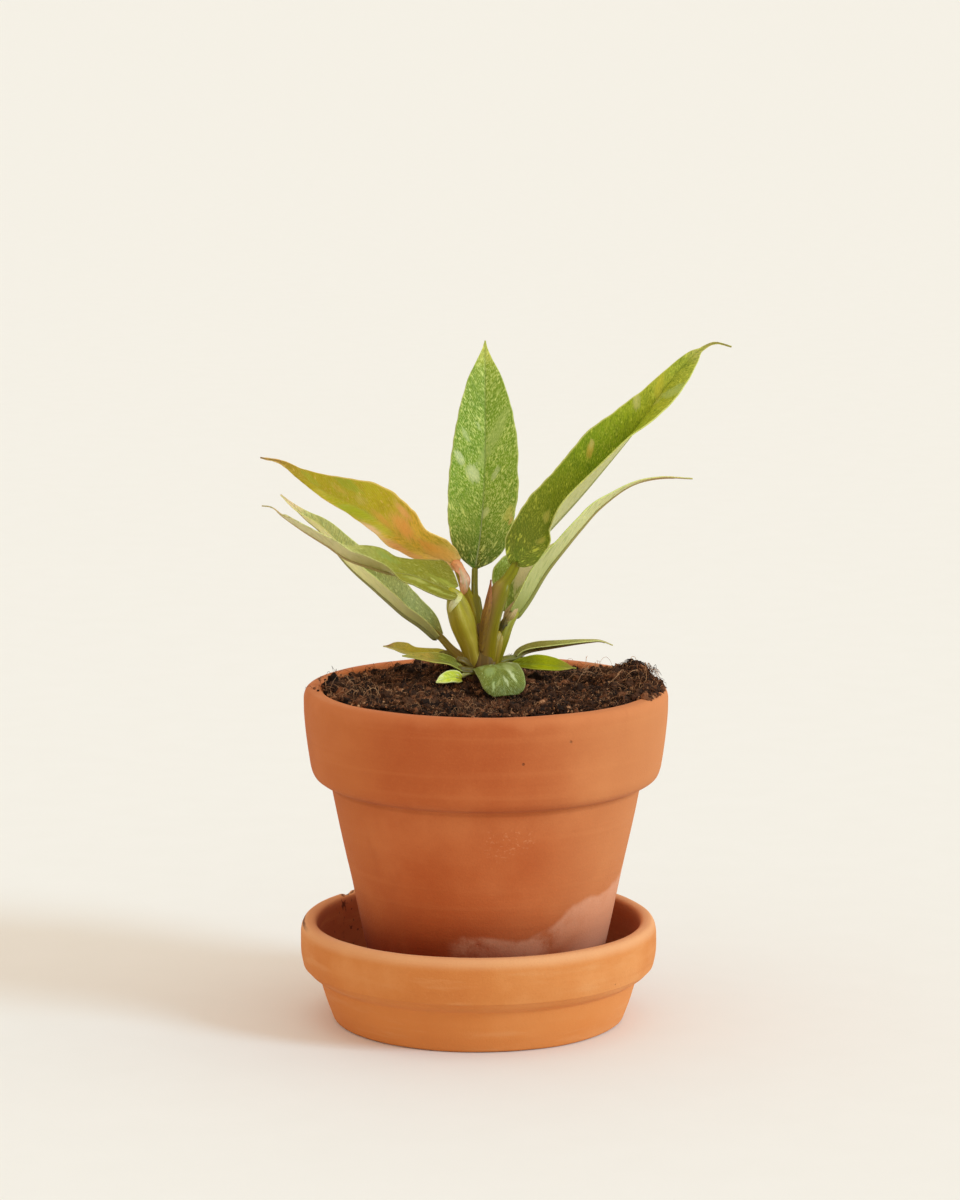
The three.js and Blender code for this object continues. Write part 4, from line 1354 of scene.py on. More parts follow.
LEAVES["leaf_low_oval"] = dict(
    LOW, slot="leaf_lime",
    midrib=[(-5, -3.3, 102.7), (-7.5, -4.3, 103.4), (-10, -5.3, 103), (-12.5, -6.3, 102.2)],
    half_width=2.2,
    shape=[(0, 0.5), (0.2, 0.95), (0.45, 1), (0.75, 0.75), (0.92, 0.3), (1, 0.05)],
    fold=25,
    roll=25,
    lift=2.25,
    colours=[(0, (146, 150, 30)), (0.6, (156, 162, 36)), (1, (192, 190, 110))],
    fleck=(196, 200, 132),
    flecks=0.15,
    dark=(120, 130, 44),
    under=[(0, (150, 150, 86)), (1, (180, 176, 116))],
    margin=(200, 194, 130),
    margin_amount=0.6,
    margin_at=0.8,
    seed=29.3,
)
LEAVES["leaf_front"] = dict(
    LOW, slot="leaf_green",
    facing=(0, -0.5, 1),
    midrib=[
        (3.9, 1, 105.2), (4.6, -3, 106.9), (5.6, -8, 106.9), (6.7, -12.5, 105.4), (7.6, -15.5, 102.9),
        (8, -16.8, 100.2),
    ],
    half_width=6.9,
    shape=[(0, 0.86), (0.15, 0.93), (0.4, 0.98), (0.65, 0.98), (0.82, 0.92), (0.93, 0.8), (1, 0.52)],
    fold=8,
    curl=-25,
    groove=0.5,
    left_lobe=2,
    colours=[(0, (108, 110, 36)), (0.4, (108, 112, 34)), (0.8, (100, 107, 28)), (1, (90, 94, 24))],
    fleck=(162, 172, 108),
    flecks=0.14,
    speck=0.45,
    dark=(84, 102, 42),
    mottle=0.5,
    under=[(0, (140, 148, 96)), (1, (150, 156, 104))],
    midrib_colour=(124, 136, 76),
    midrib_amount=0.3,
    patches=[
        # The pale streaks at shares 0.7 and 0.78 paint a soft highlight near the tip.
        (0.5, -0.42, 7, 3, (144, 152, 88), 0.9), (0.7, -0.45, 6, 1.2, (206, 212, 166), 1),
        (0.78, -0.12, 5, 1, (196, 204, 156), 1), (0.2, -0.72, 4, 2, (214, 212, 172), 1),
        (0.55, 0.42, 6, 3.2, (142, 158, 98), 0.95), (0.36, 0.66, 4, 1.6, (144, 158, 100), 0.9),
        (0.4, -0.05, 5, 1.6, (138, 154, 92), 0.8), (0.84, 0.5, 4, 1, (176, 188, 132), 0.9),
    ],
    patch_slant=0.4,
    soft=0.3,
    margin=(150, 158, 92),
    margin_at=0.94,
    seed=31.1,
)
LEAVES["leaf_low_right_bright"] = dict(
    LOW, slot="leaf_lime",
    midrib=[
        (10, 5, 105.5), (13, 5, 105.7), (18, 5, 105.6), (22.5, 5, 105.1), (26.5, 5, 104.7), (29, 5, 104.5),
    ],
    half_width=3.1,
    shape=[(0, 0.3), (0.15, 0.65), (0.4, 1), (0.65, 0.85), (0.85, 0.4), (0.93, 0.12), (1, 0.02)],
    fold=20,
    roll=-40,
    lift=1.38,
    shine=0.07,
    colours=[
        (0, (70, 68, 0)), (0.28, (94, 94, 0)), (0.5, (136, 138, 0)), (0.7, (128, 130, 12)),
        (0.88, (140, 122, 56)), (1, (120, 90, 56)),
    ],
    fleck=(154, 160, 44),
    flecks=0.05,
    dark=(104, 114, 12),
    under=[(0, (136, 140, 50)), (0.9, (146, 140, 60)), (1, (120, 90, 56))],
    margin=(168, 170, 70),
    margin_at=0.9,
    seed=37.5,
)
LEAVES["leaf_low_right_slim"] = dict(
    LOW, slot="leaf_green",
    midrib=[
        (11, 12, 106.5), (13, 14, 107.6), (16, 16, 108.2), (21, 18, 108.6), (27.5, 21, 109),
        (33.5, 24, 109.2), (37, 26, 109), (40.5, 27, 107.6),
    ],
    half_width=3.6,
    shape=[(0, 0.3), (0.1, 0.7), (0.3, 1), (0.55, 0.7), (0.8, 0.35), (0.9, 0.15), (1, 0.02)],
    fold=20,
    roll=-75,
    lift=1.5,
    colours=[
        (0, (92, 82, 12)), (0.3, (106, 94, 16)), (0.55, (128, 124, 50)), (0.85, (150, 138, 80)),
        (0.95, (150, 104, 72)),
    ],
    fleck=(160, 160, 90),
    flecks=0.05,
    dark=(86, 82, 20),
    under=[
        (0, (108, 94, 22)), (0.35, (112, 96, 26)), (0.6, (148, 138, 76)), (0.88, (160, 136, 88)),
        (0.96, (148, 104, 70)), (1, (140, 96, 64)),
    ],
    seed=41.3,
)
print("leaves in all:", len(LEAVES))

# %% [markdown]
# Now the table becomes leaves. Each one is a grid moved onto its recipe, painted, thickened, and joined
# with the rib under it.

# %% Making the leaves
BLADE_THICKNESS, SMALL_THICKNESS, SHEET_THICKNESS = 0.36, 0.3, 0.22
RIB, SMALL_RIB, RIB_END = 0.85, 0.5, 0.93
leaf_points = []


def lay_blade(name, leaf, columns, rows):
    """A grid moved onto its recipe, with its two attributes."""
    piece, v, u = grid(name, columns, rows)
    points, across, distance, length = blade_points(leaf, u, v)
    move_points(piece, points)
    store(piece, "skin", np.stack([across, distance, np.abs(v)], 1))
    store(piece, "paint", patch_colours(leaf, across, distance, length))
    return piece, points, length


def rib_tube(name, leaf):
    """The round rib under a blade, from the stalk to near the tip."""
    shares = np.linspace(0.0, RIB_END, 26)
    place, along, upper, right, length = midrib_of(leaf, shares)
    thick = SMALL_RIB if leaf.get("small") else RIB
    depth = 0.2 + thick * 0.45 * (1 - shares)
    path = place - upper * (depth + MIDRIB_GROOVE * 0.6 * (1 - shares))[:, None]
    radius = [(0, thick), (0.4, thick * 0.6), (0.75, thick * 0.28), (1, 0.08)]
    return tube(name, [tuple(p) for p in path], radius, around=10, rows=70)


def make_leaf(name, leaf):
    small = leaf.get("small", False)
    rows, columns = (64, 24) if small else (156, 48)
    piece, points, length = lay_blade(name + "_blade", leaf, columns, rows)
    leaf_points.append(points)
    piece.data.materials.append(upper_finish(name + "_upper", leaf, length))
    piece.data.materials.append(under_finish(name + "_under", leaf, length))
    upper_side = Vector(midrib_of(leaf, np.array([0.0]))[2][0])
    if piece.data.polygons[0].normal.dot(upper_side) < 0:
        piece.data.flip_normals()
    thickness = (SMALL_THICKNESS if small else BLADE_THICKNESS) * MM
    sides = dict(use_rim=True, material_offset=1, material_offset_rim=0)
    apply_modifier(piece, "SOLIDIFY", thickness=thickness, offset=0.0, **sides)
    rib = rib_tube(name + "_rib", leaf)
    near_stalk, near_tip = leaf["under"][0][1], leaf["under"][-2][1]
    skin = stalk_finish(name + "_rib", near_stalk, near_tip, near_stalk, length * RIB_END)
    rib.data.materials.append(skin)
    piece = join([piece, rib])
    piece.data.name = name + "_blade"
    smooth(piece)
    return hand_over(piece, leaf["slot"], [], name)


for name, leaf in LEAVES.items():
    triangles += make_leaf(name, leaf)

# %% [markdown]
# ## The crown
#
# All stalks rise from one short stem. Each has a round back and a shallow channel on the side that faces
# the stem, and most widen into a clasping foot. So a stalk is a tube whose section is pressed in on one
# side and drawn out into two low wings beside the channel.


# %% The stem and the stalks
CHANNEL_DEPTH, CHANNEL_WIDTH = 0.3, 0.5
WING_HEIGHT, WING_TURN, WING_WIDTH = 0.16, 0.85, 0.35


def channelled(facing):
    """A section with a channel at the angle facing, in degrees from the upper side, and two low wings."""
    centre = math.radians(facing)

    def section(angle, u):
        turn = (angle - centre + math.pi) % math.tau - math.pi
        fade = np.clip(u * 1.4, 0.15, 1)
        channel = CHANNEL_DEPTH * np.exp(-((turn / CHANNEL_WIDTH) ** 2)) * fade
        left, right = (np.exp(-(((turn - wing) / WING_WIDTH) ** 2)) for wing in (WING_TURN, -WING_TURN))
        return 1 - channel + WING_HEIGHT * (left + right) * fade

    return section


YELLOWED = (166, 158, 44)
LOW_OLIVE, SHADED = (118, 100, 42), (98, 76, 40)
STALKS = {
    "stem": dict(
        path=[(1.6, 6, 84), (1.6, 6, 95), (1.4, 6, 103), (1.2, 6.6, 110)],
        radius=[(0, 4.6), (0.7, 4.4), (0.88, 3.6), (1, 1.6)], low=(88, 64, 26), high=(106, 80, 26), channel=0,
    ),
    "stem_sheath": dict(
        path=[(1.3, 4.2, 103), (1.5, 4.6, 108), (1.2, 6.1, 113), (0.5, 8.6, 117.6)],
        radius=[(0, 3.4), (0.4, 2.9), (0.8, 1.9), (1, 0.8)], low=(88, 62, 22), high=(118, 92, 22), channel=0,
        streak=(124, 92, 34),
    ),
    "stalk_upright": dict(
        path=[
            (0.2, 10, 112), (0, 11, 117.4), (-0.7, 13, 121.9), (-1.1, 14.2, 124.8), (-1.2, 15.5, 127.8),
            (-1.1, 17, 133),
        ],
        radius=[(0, 1.9), (0.5, 1.7), (0.57, 1.6), (0.62, 1.05), (1, 0.9)],
        low=(122, 106, 12), high=(116, 108, 6), channel=10, streak=(150, 134, 30),
    ),
    "stalk_right_large": dict(
        path=[
            (1.9, 5.4, 103), (2.5, 4.4, 110), (3, 3.9, 115), (4.1, 3.8, 120.6), (5.2, 4, 124.4),
            (6.4, 4.4, 127.8),
            (7.9, 4.7, 130.4), (9.9, 5, 133.2), (12, 5.4, 137.2), (13.6, 4.9, 138.8),
        ],
        radius=[
            (0, 2.6), (0.3, 2.7), (0.45, 2.75), (0.58, 2.8), (0.66, 2.7), (0.7, 2.35), (0.73, 1.75),
            (0.84, 1.5),
            (0.93, 1.1), (1, 0.7),
        ],
        low=(122, 98, 8), high=(122, 124, 0), channel=-8, streak=(142, 132, 4),
        tan=(142, 108, 48), tan_turn=-1.15,
    ),
    "stalk_right_slim": dict(
        path=[
            (3, 8.6, 103), (4.9, 8.4, 108), (6.4, 8.6, 112), (7.8, 9.6, 115.5), (9.3, 10.8, 118),
            (11.6, 12.6, 120.2),
        ],
        radius=[(0, 2.5), (0.5, 2.4), (0.8, 1.8), (1, 0.9)], low=(102, 84, 4), high=(146, 142, 24),
        channel=-50,
    ),
    "stalk_right_slim_branch": dict(
        path=[(3.2, 6.4, 103), (4.2, 5.8, 108), (5.4, 6.3, 112), (6.6, 7.6, 115.2)],
        radius=[(0, 2.3), (0.6, 1.9), (0.9, 1.2), (1, 0.7)], low=(100, 80, 2), high=(160, 134, 34),
        channel=20,
        streak=(172, 146, 50),
    ),
    "stalk_right_slim_node": dict(
        path=[(7.9, 9, 117.8), (9, 9.4, 119.6), (10.4, 10.2, 121.8), (11.6, 11.2, 124)],
        radius=[(0, 0.9), (0.35, 1.7), (0.7, 1.3), (1, 0.5)], low=(140, 116, 56), high=(206, 172, 120),
        channel=60,
        streak=(222, 190, 140),
    ),
    "stalk_left_green": dict(
        path=[
            (-0.6, 5.4, 103.6), (-2.5, 3, 111.8), (-3.7, 2.2, 115.3), (-4.9, 1.2, 119), (-6.2, 0.2, 123.4),
            (-7.2, -0.6, 126.8), (-9, -1.3, 129.6),
        ],
        radius=[
            (0, 2.2), (0.22, 2.8), (0.42, 3.3), (0.58, 3.6), (0.74, 3.3), (0.86, 2.5), (0.94, 1.6),
            (1, 0.7),
        ],
        low=(156, 128, 44), high=(156, 146, 28), channel=48, streak=(192, 172, 92),
    ),
    "stalk_left_orange": dict(
        path=[
            (-0.6, 10.4, 115), (-1.4, 11.6, 119.4), (-2.4, 12.5, 122.4), (-3.6, 13, 125.5),
            (-5.1, 13.6, 129.9), (-6.9, 13.6, 133.6),
        ],
        radius=[(0, 1.5), (0.5, 1.6), (0.8, 1.2), (1, 0.7)], low=(148, 130, 14), high=(170, 146, 34),
        channel=60,
    ),
    "stalk_left_folded": dict(
        path=[(-1, 7.6, 103.4), (-5.2, 8.4, 107), (-8.2, 9, 109.6), (-11, 9.8, 112.6), (-13.8, 10.8, 115.2)],
        radius=[(0, 1.9), (0.3, 1.5), (0.6, 1.1), (0.85, 0.95), (1, 0.6)], low=(156, 126, 58),
        high=(140, 124, 40), channel=40,
    ),
    "old_stub": dict(
        path=[(-1.4, 3.6, 104.8), (-2.8, 2.8, 106.2), (-4.6, 1.6, 107.5), (-6.3, 0.9, 107.9)],
        radius=[(0, 1.3), (0.7, 1.05), (1, 0.75)], low=(90, 68, 20), high=(112, 92, 30), channel=10,
        streak=(124, 104, 42),
    ),
    "stalk_low_left_back": dict(
        path=[(-1, 8.5, 104.5), (-5.5, 11, 107), (-9.5, 12.3, 107.8), (-12, 12.9, 107.4)],
        radius=[(0, 1.2), (0.8, 0.8), (1, 0.45)], low=LOW_OLIVE, high=(122, 114, 40), channel=30,
    ),
    "stalk_low_left_front": dict(
        path=[(0, 4, 103.6), (-3, 1.8, 104.2), (-4.8, 0.4, 104.8), (-6.3, -0.1, 105.8)],
        radius=[(0, 1.5), (0.8, 1.0), (1, 0.45)], low=(86, 64, 20), high=(96, 80, 18), channel=30,
    ),
    "stalk_low_oval": dict(
        path=[(0, 3.5, 103.2), (-1.6, 2.4, 103.7), (-3.2, 1, 103.6), (-5, -1.4, 103.2), (-6.6, -4, 103.2)],
        radius=[(0, 0.8), (0.8, 0.6), (1, 0.35)], low=(164, 156, 96), high=(172, 172, 106), channel=30,
    ),
    "stalk_front": dict(
        path=[(2.4, 5, 103.2), (3.4, 3.2, 104.2), (4.0, 1.2, 104.8), (4.3, -1.5, 105.8)],
        radius=[(0, 2), (0.7, 1.5), (1, 0.7)], low=SHADED, high=(112, 118, 56), channel=0,
    ),
    "stalk_low_right_bright": dict(
        path=[(3.6, 6, 103.8), (7, 5.3, 105), (10, 5.1, 105.3), (12.5, 5.1, 105.4)],
        radius=[(0, 1.5), (0.75, 0.9), (1, 0.45)], low=LOW_OLIVE, high=(114, 116, 26), channel=-30,
    ),
    "stalk_low_right_slim": dict(
        path=[(3.5, 8.5, 104.2), (7.8, 10.9, 106), (10.8, 12.2, 106.4), (12.6, 14, 107.2)],
        radius=[(0, 1.4), (0.75, 0.85), (1, 0.45)], low=LOW_OLIVE, high=(110, 112, 46), channel=-30,
    ),
}
for name, stalk in STALKS.items():
    length = route(stalk["path"], np.array([0.0]))[2]
    section = channelled(stalk["channel"])
    piece = tube(name, stalk["path"], stalk["radius"], around=24, rows=64, section=section)
    flush = {key: stalk[key] for key in ("tan", "tan_turn") if key in stalk}
    colours = stalk["low"], stalk["high"], stalk.get("streak", YELLOWED)
    finish = stalk_finish(name + "_skin", *colours, length, **flush)
    smooth(piece)
    triangles += hand_over(piece, "stalk", [finish], "crown")

# %% [markdown]
# Thin wings and dry scraps stand between the stalks. They are sheets like the blades, only small and plain,
# so the blade recipe makes them too: the brown sheath of the newest leaf, the curled edge where the orange
# leaf begins, the pale flap on the front stalk, and a dried scrap on the right.

# %% The sheath and the scraps
SCRAP = dict(fold=-25, veins=0.0, groove=0.0, sway=0.15, flecks=0, speck=0, ragged=0.08, midrib_amount=0)
SHEETS = {
    "sheath_papery": (("sheath", "dry_sheath"), dict(
        SCRAP,
        midrib=[
            (0.9, 1.4, 110), (1.2, 0.9, 114), (1.7, 0.5, 118), (2.3, 0.3, 121.7), (3, 0.5, 125.3),
            (3.7, 1.6, 131.6),
        ],
        half_width=1.5,
        shape=[(0, 0.5), (0.25, 0.8), (0.5, 0.9), (0.72, 0.7), (0.9, 0.3), (1, 0.03)],
        colours=[
            (0, (120, 90, 22)), (0.35, (116, 86, 20)), (0.6, (138, 98, 36)), (0.85, (148, 88, 46)),
            (1, (136, 70, 40)),
        ],
        dark=(84, 56, 34), under=[(0, (104, 76, 44)), (0.5, (126, 84, 52)), (1, (150, 80, 56))],
        margin=(150, 104, 70), seed=43.0,
    )),
    "curl_left_orange": (("crown", "stalk"), dict(
        SCRAP,
        midrib=[
            (-7.8, 12, 135.4), (-6, 10.8, 134.4), (-4.6, 10, 131.8), (-4.1, 9.9, 128.8),
            (-4.6, 10.6, 125.6),
        ],
        half_width=1.75, fold=-30, ragged=0.5, ripple=0.5, lift=1.35,
        shape=[(0, 0.7), (0.2, 0.9), (0.45, 0.85), (0.75, 1), (0.92, 0.6), (1, 0.15)],
        colours=[
            (0, (206, 140, 80)), (0.3, (220, 160, 120)), (0.6, (226, 182, 158)), (0.85, (214, 160, 118)),
            (1, (190, 124, 66)),
        ],
        dark=(206, 134, 96), under=[(0, (228, 180, 156)), (0.5, (226, 176, 150)), (1, (200, 140, 96))],
        # The two pale streaks are painted highlights on the pink curl.
        patches=[(0.5, 0.2, 6, 0.8, (240, 198, 172), 0.9), (0.7, -0.4, 4, 0.7, (240, 200, 176), 0.8)],
        patch_slant=0.1,
        margin=(190, 92, 44), margin_amount=0.7, margin_at=0.82, seed=67.0,
    )),
    "flap_left_green": (("crown", "stalk"), dict(
        SCRAP,
        midrib=[(-8.6, -2.9, 122.6), (-7.8, -3.6, 124.6), (-6.6, -3.8, 126.4), (-4.9, -3, 128.2)],
        half_width=1.25,
        shape=[(0, 0.25), (0.35, 0.85), (0.65, 1), (0.9, 0.7), (1, 0.3)],
        lift=1.3,
        # Its pale cream colours are partly its own and partly a painted highlight along the wing's top.
        colours=[(0, (170, 158, 60)), (0.4, (210, 202, 156)), (0.8, (204, 196, 130)), (1, (172, 168, 60))],
        dark=(176, 166, 92), under=[(0, (172, 162, 84)), (0.5, (198, 190, 134)), (1, (182, 176, 88))],
        margin=(212, 204, 150), seed=53.0,
    )),
    "scrap_dried": (("crown", "stalk"), dict(
        SCRAP,
        midrib=[(6.2, 6.8, 113.8), (7, 7, 116), (7.7, 7.6, 117.8), (8.2, 8.2, 119.6)],
        half_width=1.3,
        shape=[(0, 0.5), (0.4, 1), (0.8, 0.7), (1, 0.2)],
        colours=[(0, (112, 94, 26)), (0.5, (72, 62, 14)), (1, (120, 98, 40))],
        dark=(44, 38, 8), mottle=0.9, under=[(0, (104, 84, 40)), (0.5, (110, 90, 46)), (1, (96, 72, 34))],
        margin=(150, 128, 84), seed=61.0,
    )),
}
for name, ((solid, slot), sheet) in SHEETS.items():
    piece, points, length = lay_blade(name, sheet, 16, 48)
    piece.data.materials.append(upper_finish(name + "_skin", sheet, length))
    apply_modifier(piece, "SOLIDIFY", thickness=SHEET_THICKNESS * MM, offset=0.0, use_rim=True)
    smooth(piece)
    triangles += hand_over(piece, slot, [], solid)

# %% [markdown]
# ## Crumbs, clods and threads
#
# A crumb is an icosphere knocked out of shape. A few are modelled, and then copied by the thousand with
# their own size, turn and tone. Small ones have only 20 faces, because there are so many. A crumb is
# dropped where it would lie inside a leaf.


# %% Modelling and scattering crumbs
def model_crumb(seed, subdivisions):
    clear_selection()
    bpy.ops.mesh.primitive_ico_sphere_add(subdivisions=subdivisions, radius=1.0)
    piece = bpy.context.object
    unit = points_of(piece) * MM
    rough = np.array([noise.fractal(Vector(p) * 1.1 + Vector((seed, 0, 0)), 0.7, 2.0, 4) for p in unit])
    unit = unit * (1 + 0.7 * rough)[:, None] * np.array([1.2, 0.9, 0.7])
    faces = np.array([list(face.vertices) for face in piece.data.polygons])
    bpy.data.objects.remove(piece, do_unlink=True)
    return unit, faces


def turns(count):
    """Random rotations, one 3 by 3 matrix each."""
    q = draw.normal(size=(count, 4))
    w, x, y, z = (q / np.linalg.norm(q, axis=1)[:, None]).T
    return np.stack([
        1 - 2 * (y * y + z * z), 2 * (x * y - z * w), 2 * (x * z + y * w),
        2 * (x * y + z * w), 1 - 2 * (x * x + z * z), 2 * (y * z - x * w),
        2 * (x * z - y * w), 2 * (y * z + x * w), 1 - 2 * (x * x + y * y),
    ], 1).reshape(-1, 3, 3)


def mesh_piece(name, points, faces, tones):
    mesh = bpy.data.meshes.new(name)
    mesh.from_pydata((points * MM).tolist(), [], faces.tolist())
    piece = bpy.data.objects.new(name, mesh)
    bpy.context.scene.collection.objects.link(piece)
    store(piece, "tone", tones)
    return piece


def scatter(name, shapes, places, sizes, tones):
    """One piece from many copies: each takes a shape in turn, with its own place, size, turn and tone."""
    every, all_faces, all_tones, count = [], [], [], 0
    for k, (unit, faces) in enumerate(shapes):
        mine = np.arange(k, len(places), len(shapes))
        if not len(mine):
            continue
        turned = np.einsum("nij,vj->nvi", turns(len(mine)), unit)
        bodies = turned * sizes[mine, None, None] + places[mine, None]
        offsets = count + np.arange(len(mine)) * len(unit)
        every.append(bodies.reshape(-1, 3))
        all_faces.append((faces[None] + offsets[:, None, None]).reshape(-1, 3))
        all_tones.append(np.repeat(tones[mine], len(unit)))
        count += len(mine) * len(unit)
    return mesh_piece(name, np.concatenate(every), np.concatenate(all_faces), np.concatenate(all_tones))


LOW_ENOUGH = 114
leaf_cloud = np.concatenate(leaf_points)
leaf_cloud = leaf_cloud[leaf_cloud[:, 2] < LOW_ENOUGH]
tree_of_leaves = kdtree.KDTree(len(leaf_cloud))
for i, point in enumerate(leaf_cloud):
    tree_of_leaves.insert(point, i)
tree_of_leaves.balance()


def varied(count, least, more, power=1.0):
    """Random values from least to least + more. A power over 1 makes high ones rare."""
    return least + more * draw.random(count) ** power


def on_soil(count, sizes, sink):
    """Random places on the soil, inside the pot's mouth and clear of the leaves."""
    radius = np.sqrt(draw.random(count))
    angle = draw.random(count) * math.tau
    reach = POT_MOUTH - 0.5 - sizes * 0.7
    x, y = POT_AXIS + radius * reach * np.cos(angle), radius * reach * np.sin(angle)
    places = np.stack([x, y, soil_height(x, y) - 0.7 + sizes * sink], 1)
    clear = np.array([tree_of_leaves.find(p)[2] > s * 1.25 + 0.35 for p, s in zip(places, sizes)])
    return places, clear


DAMPNESS, DAMP_SIZE, PALEST = 0.34, 5.5, 1.2


def patchy(places, tones):
    """The same tones, with damp dark places and dry pale ones a few millimetres wide."""
    return np.clip(tones + DAMPNESS * bumpy(places * np.array([1, 1, 0.3]), DAMP_SIZE, 3), 0, PALEST)


def give_to_soil(piece):
    return hand_over(piece, "potting_soil", [peat], "soil")


def crumb_layer(name, shapes, count, size, sink, tone, loose=0.0):
    """One layer of crumbs. Size is (least, more, power), and tone is (mean, spread)."""
    sizes = varied(count, *size)
    places, clear = on_soil(count, sizes, sink)
    if loose:
        places[:, 2] += loose * draw.random(count)
    tones = patchy(places, draw.normal(*tone, count))
    return give_to_soil(scatter(name, shapes, places[clear], sizes[clear], tones[clear]))


print("leaf points to keep clear of:", len(leaf_cloud))

# %% The crumbs and clods
DUST, SMALL_CRUMBS, LARGE_CRUMBS, CLODS, SPILLED = 9000, 6200, 1150, 75, 560
small_shapes = [model_crumb(seed * 3.7, 1) for seed in range(1, 9)]
large_shapes = [model_crumb(seed * 5.1 + 40, 2) for seed in range(1, 8)]
clod_shapes = [model_crumb(seed * 7.3 + 90, 3) for seed in range(1, 6)]

triangles += crumb_layer("soil_crumbs_small", small_shapes, SMALL_CRUMBS, (0.28, 0.5, 1.6), 0.55, (0.4, 0.24))
triangles += crumb_layer("soil_dust", small_shapes, DUST, (0.14, 0.2), 1.0, (0.48, 0.28), loose=0.7)
triangles += crumb_layer("soil_crumbs_large", large_shapes, LARGE_CRUMBS, (0.6, 0.75, 1.8), 0.35, (0.34, 0.2))

PLACED_CLODS = [
    (-43.0, 1, 2.6), (-39.5, 9, 2.0), (-42.4, -4, 1.8), (-38.5, -2.5, 1.6), (-7.4, 19, 2.2),
    (-6.6, 18.2, 1.7),
    (9.3, 15.4, 2.1), (11.2, 15, 1.6), (38, 22, 1.6), (34, 27, 1.5), (41, 16, 1.4), (26, 33, 1.6),
    (13, -22, 2.0), (17, -20, 1.7), (-13, -27, 1.9), (-27, -22, 1.8), (-40.2, -11, 1.5), (9, -17.6, 1.3),
    (12.4, -17, 1.2), (6.4, -19.4, 1.1), (46.6, 8, 2.2), (47.4, 2, 1.8), (45, 14, 1.8),
    (49.2, 6, 1.5), (48.6, 10.5, 1.5), (49.6, 0, 1.3),
]
RUSTY = (16, 17, 18, 19)
x, y, placed_sizes = np.array(PLACED_CLODS, float).T
sizes = np.concatenate([placed_sizes, varied(CLODS, 1.2, 0.9, 2)])
places, clear = on_soil(len(sizes), sizes, 0.2)
fixed = len(PLACED_CLODS)
places[:fixed] = np.stack([x, y, soil_height(x, y) - 0.4], 1)
clear[:fixed] = [tree_of_leaves.find(p)[2] > s * 1.1 for p, s in zip(places[:fixed], sizes)]
tones = patchy(places, draw.normal(0.3, 0.15, len(sizes)))
tones[list(RUSTY)] = 0.72
clods = scatter("soil_clods", clod_shapes, places[clear], sizes[clear], tones[clear])
triangles += give_to_soil(clods)

# %% [markdown]
# Soil is never filled in tidily. Some of it lies on the rim, most on the right where the heap is highest,
# and the fibres in it hang over the edge.

# %% Soil on the rim
RIM_SECTORS = [(-26, 30, 0.95), (164, 190, 0.035), (150, 164, 0.01)]
spill_angle = np.concatenate([
    np.radians(low + (high - low) * draw.random(int(SPILLED * share))) for low, high, share in RIM_SECTORS
])
LEFT_SIZE = 0.55
sizes = varied(len(spill_angle), 0.28, 0.85, 2) * np.where(np.cos(spill_angle) < 0, LEFT_SIZE, 1.0)
outwards = varied(len(spill_angle), POT_MOUTH - 0.6, 5.0, 1.5)
places = np.stack([
    POT_AXIS + outwards * np.cos(spill_angle), outwards * np.sin(spill_angle),
    POT_TOP - 0.25 + sizes * 0.5 - np.clip(outwards - 51, 0, 9) * 0.35,
], 1)
heap = np.clip(1 - (outwards - POT_MOUTH + 0.6) / 3, 0, 1) * (np.cos(spill_angle) > 0)
places[:, 2] += heap * draw.random(len(sizes)) * 1.6
tones = np.clip(draw.normal(0.45, 0.22, len(sizes)), 0, 1)
spill = scatter("soil_spill", large_shapes, places, sizes, tones)
triangles += give_to_soil(spill)

# %% [markdown]
# A root thread is a hair-thin tube that follows the soil and lifts off it in a loop. Each is three-sided,
# with a few bends, which is enough at a tenth of a millimetre. Most are a fuzz of a millimetre or two, then
# come longer dark and pale ones, some that hang over the rim, and a few long hairs in tufts.


# %% The root threads
RIM_REACH = 53.4
SOIL_REACH = POT_MOUTH - 0.6


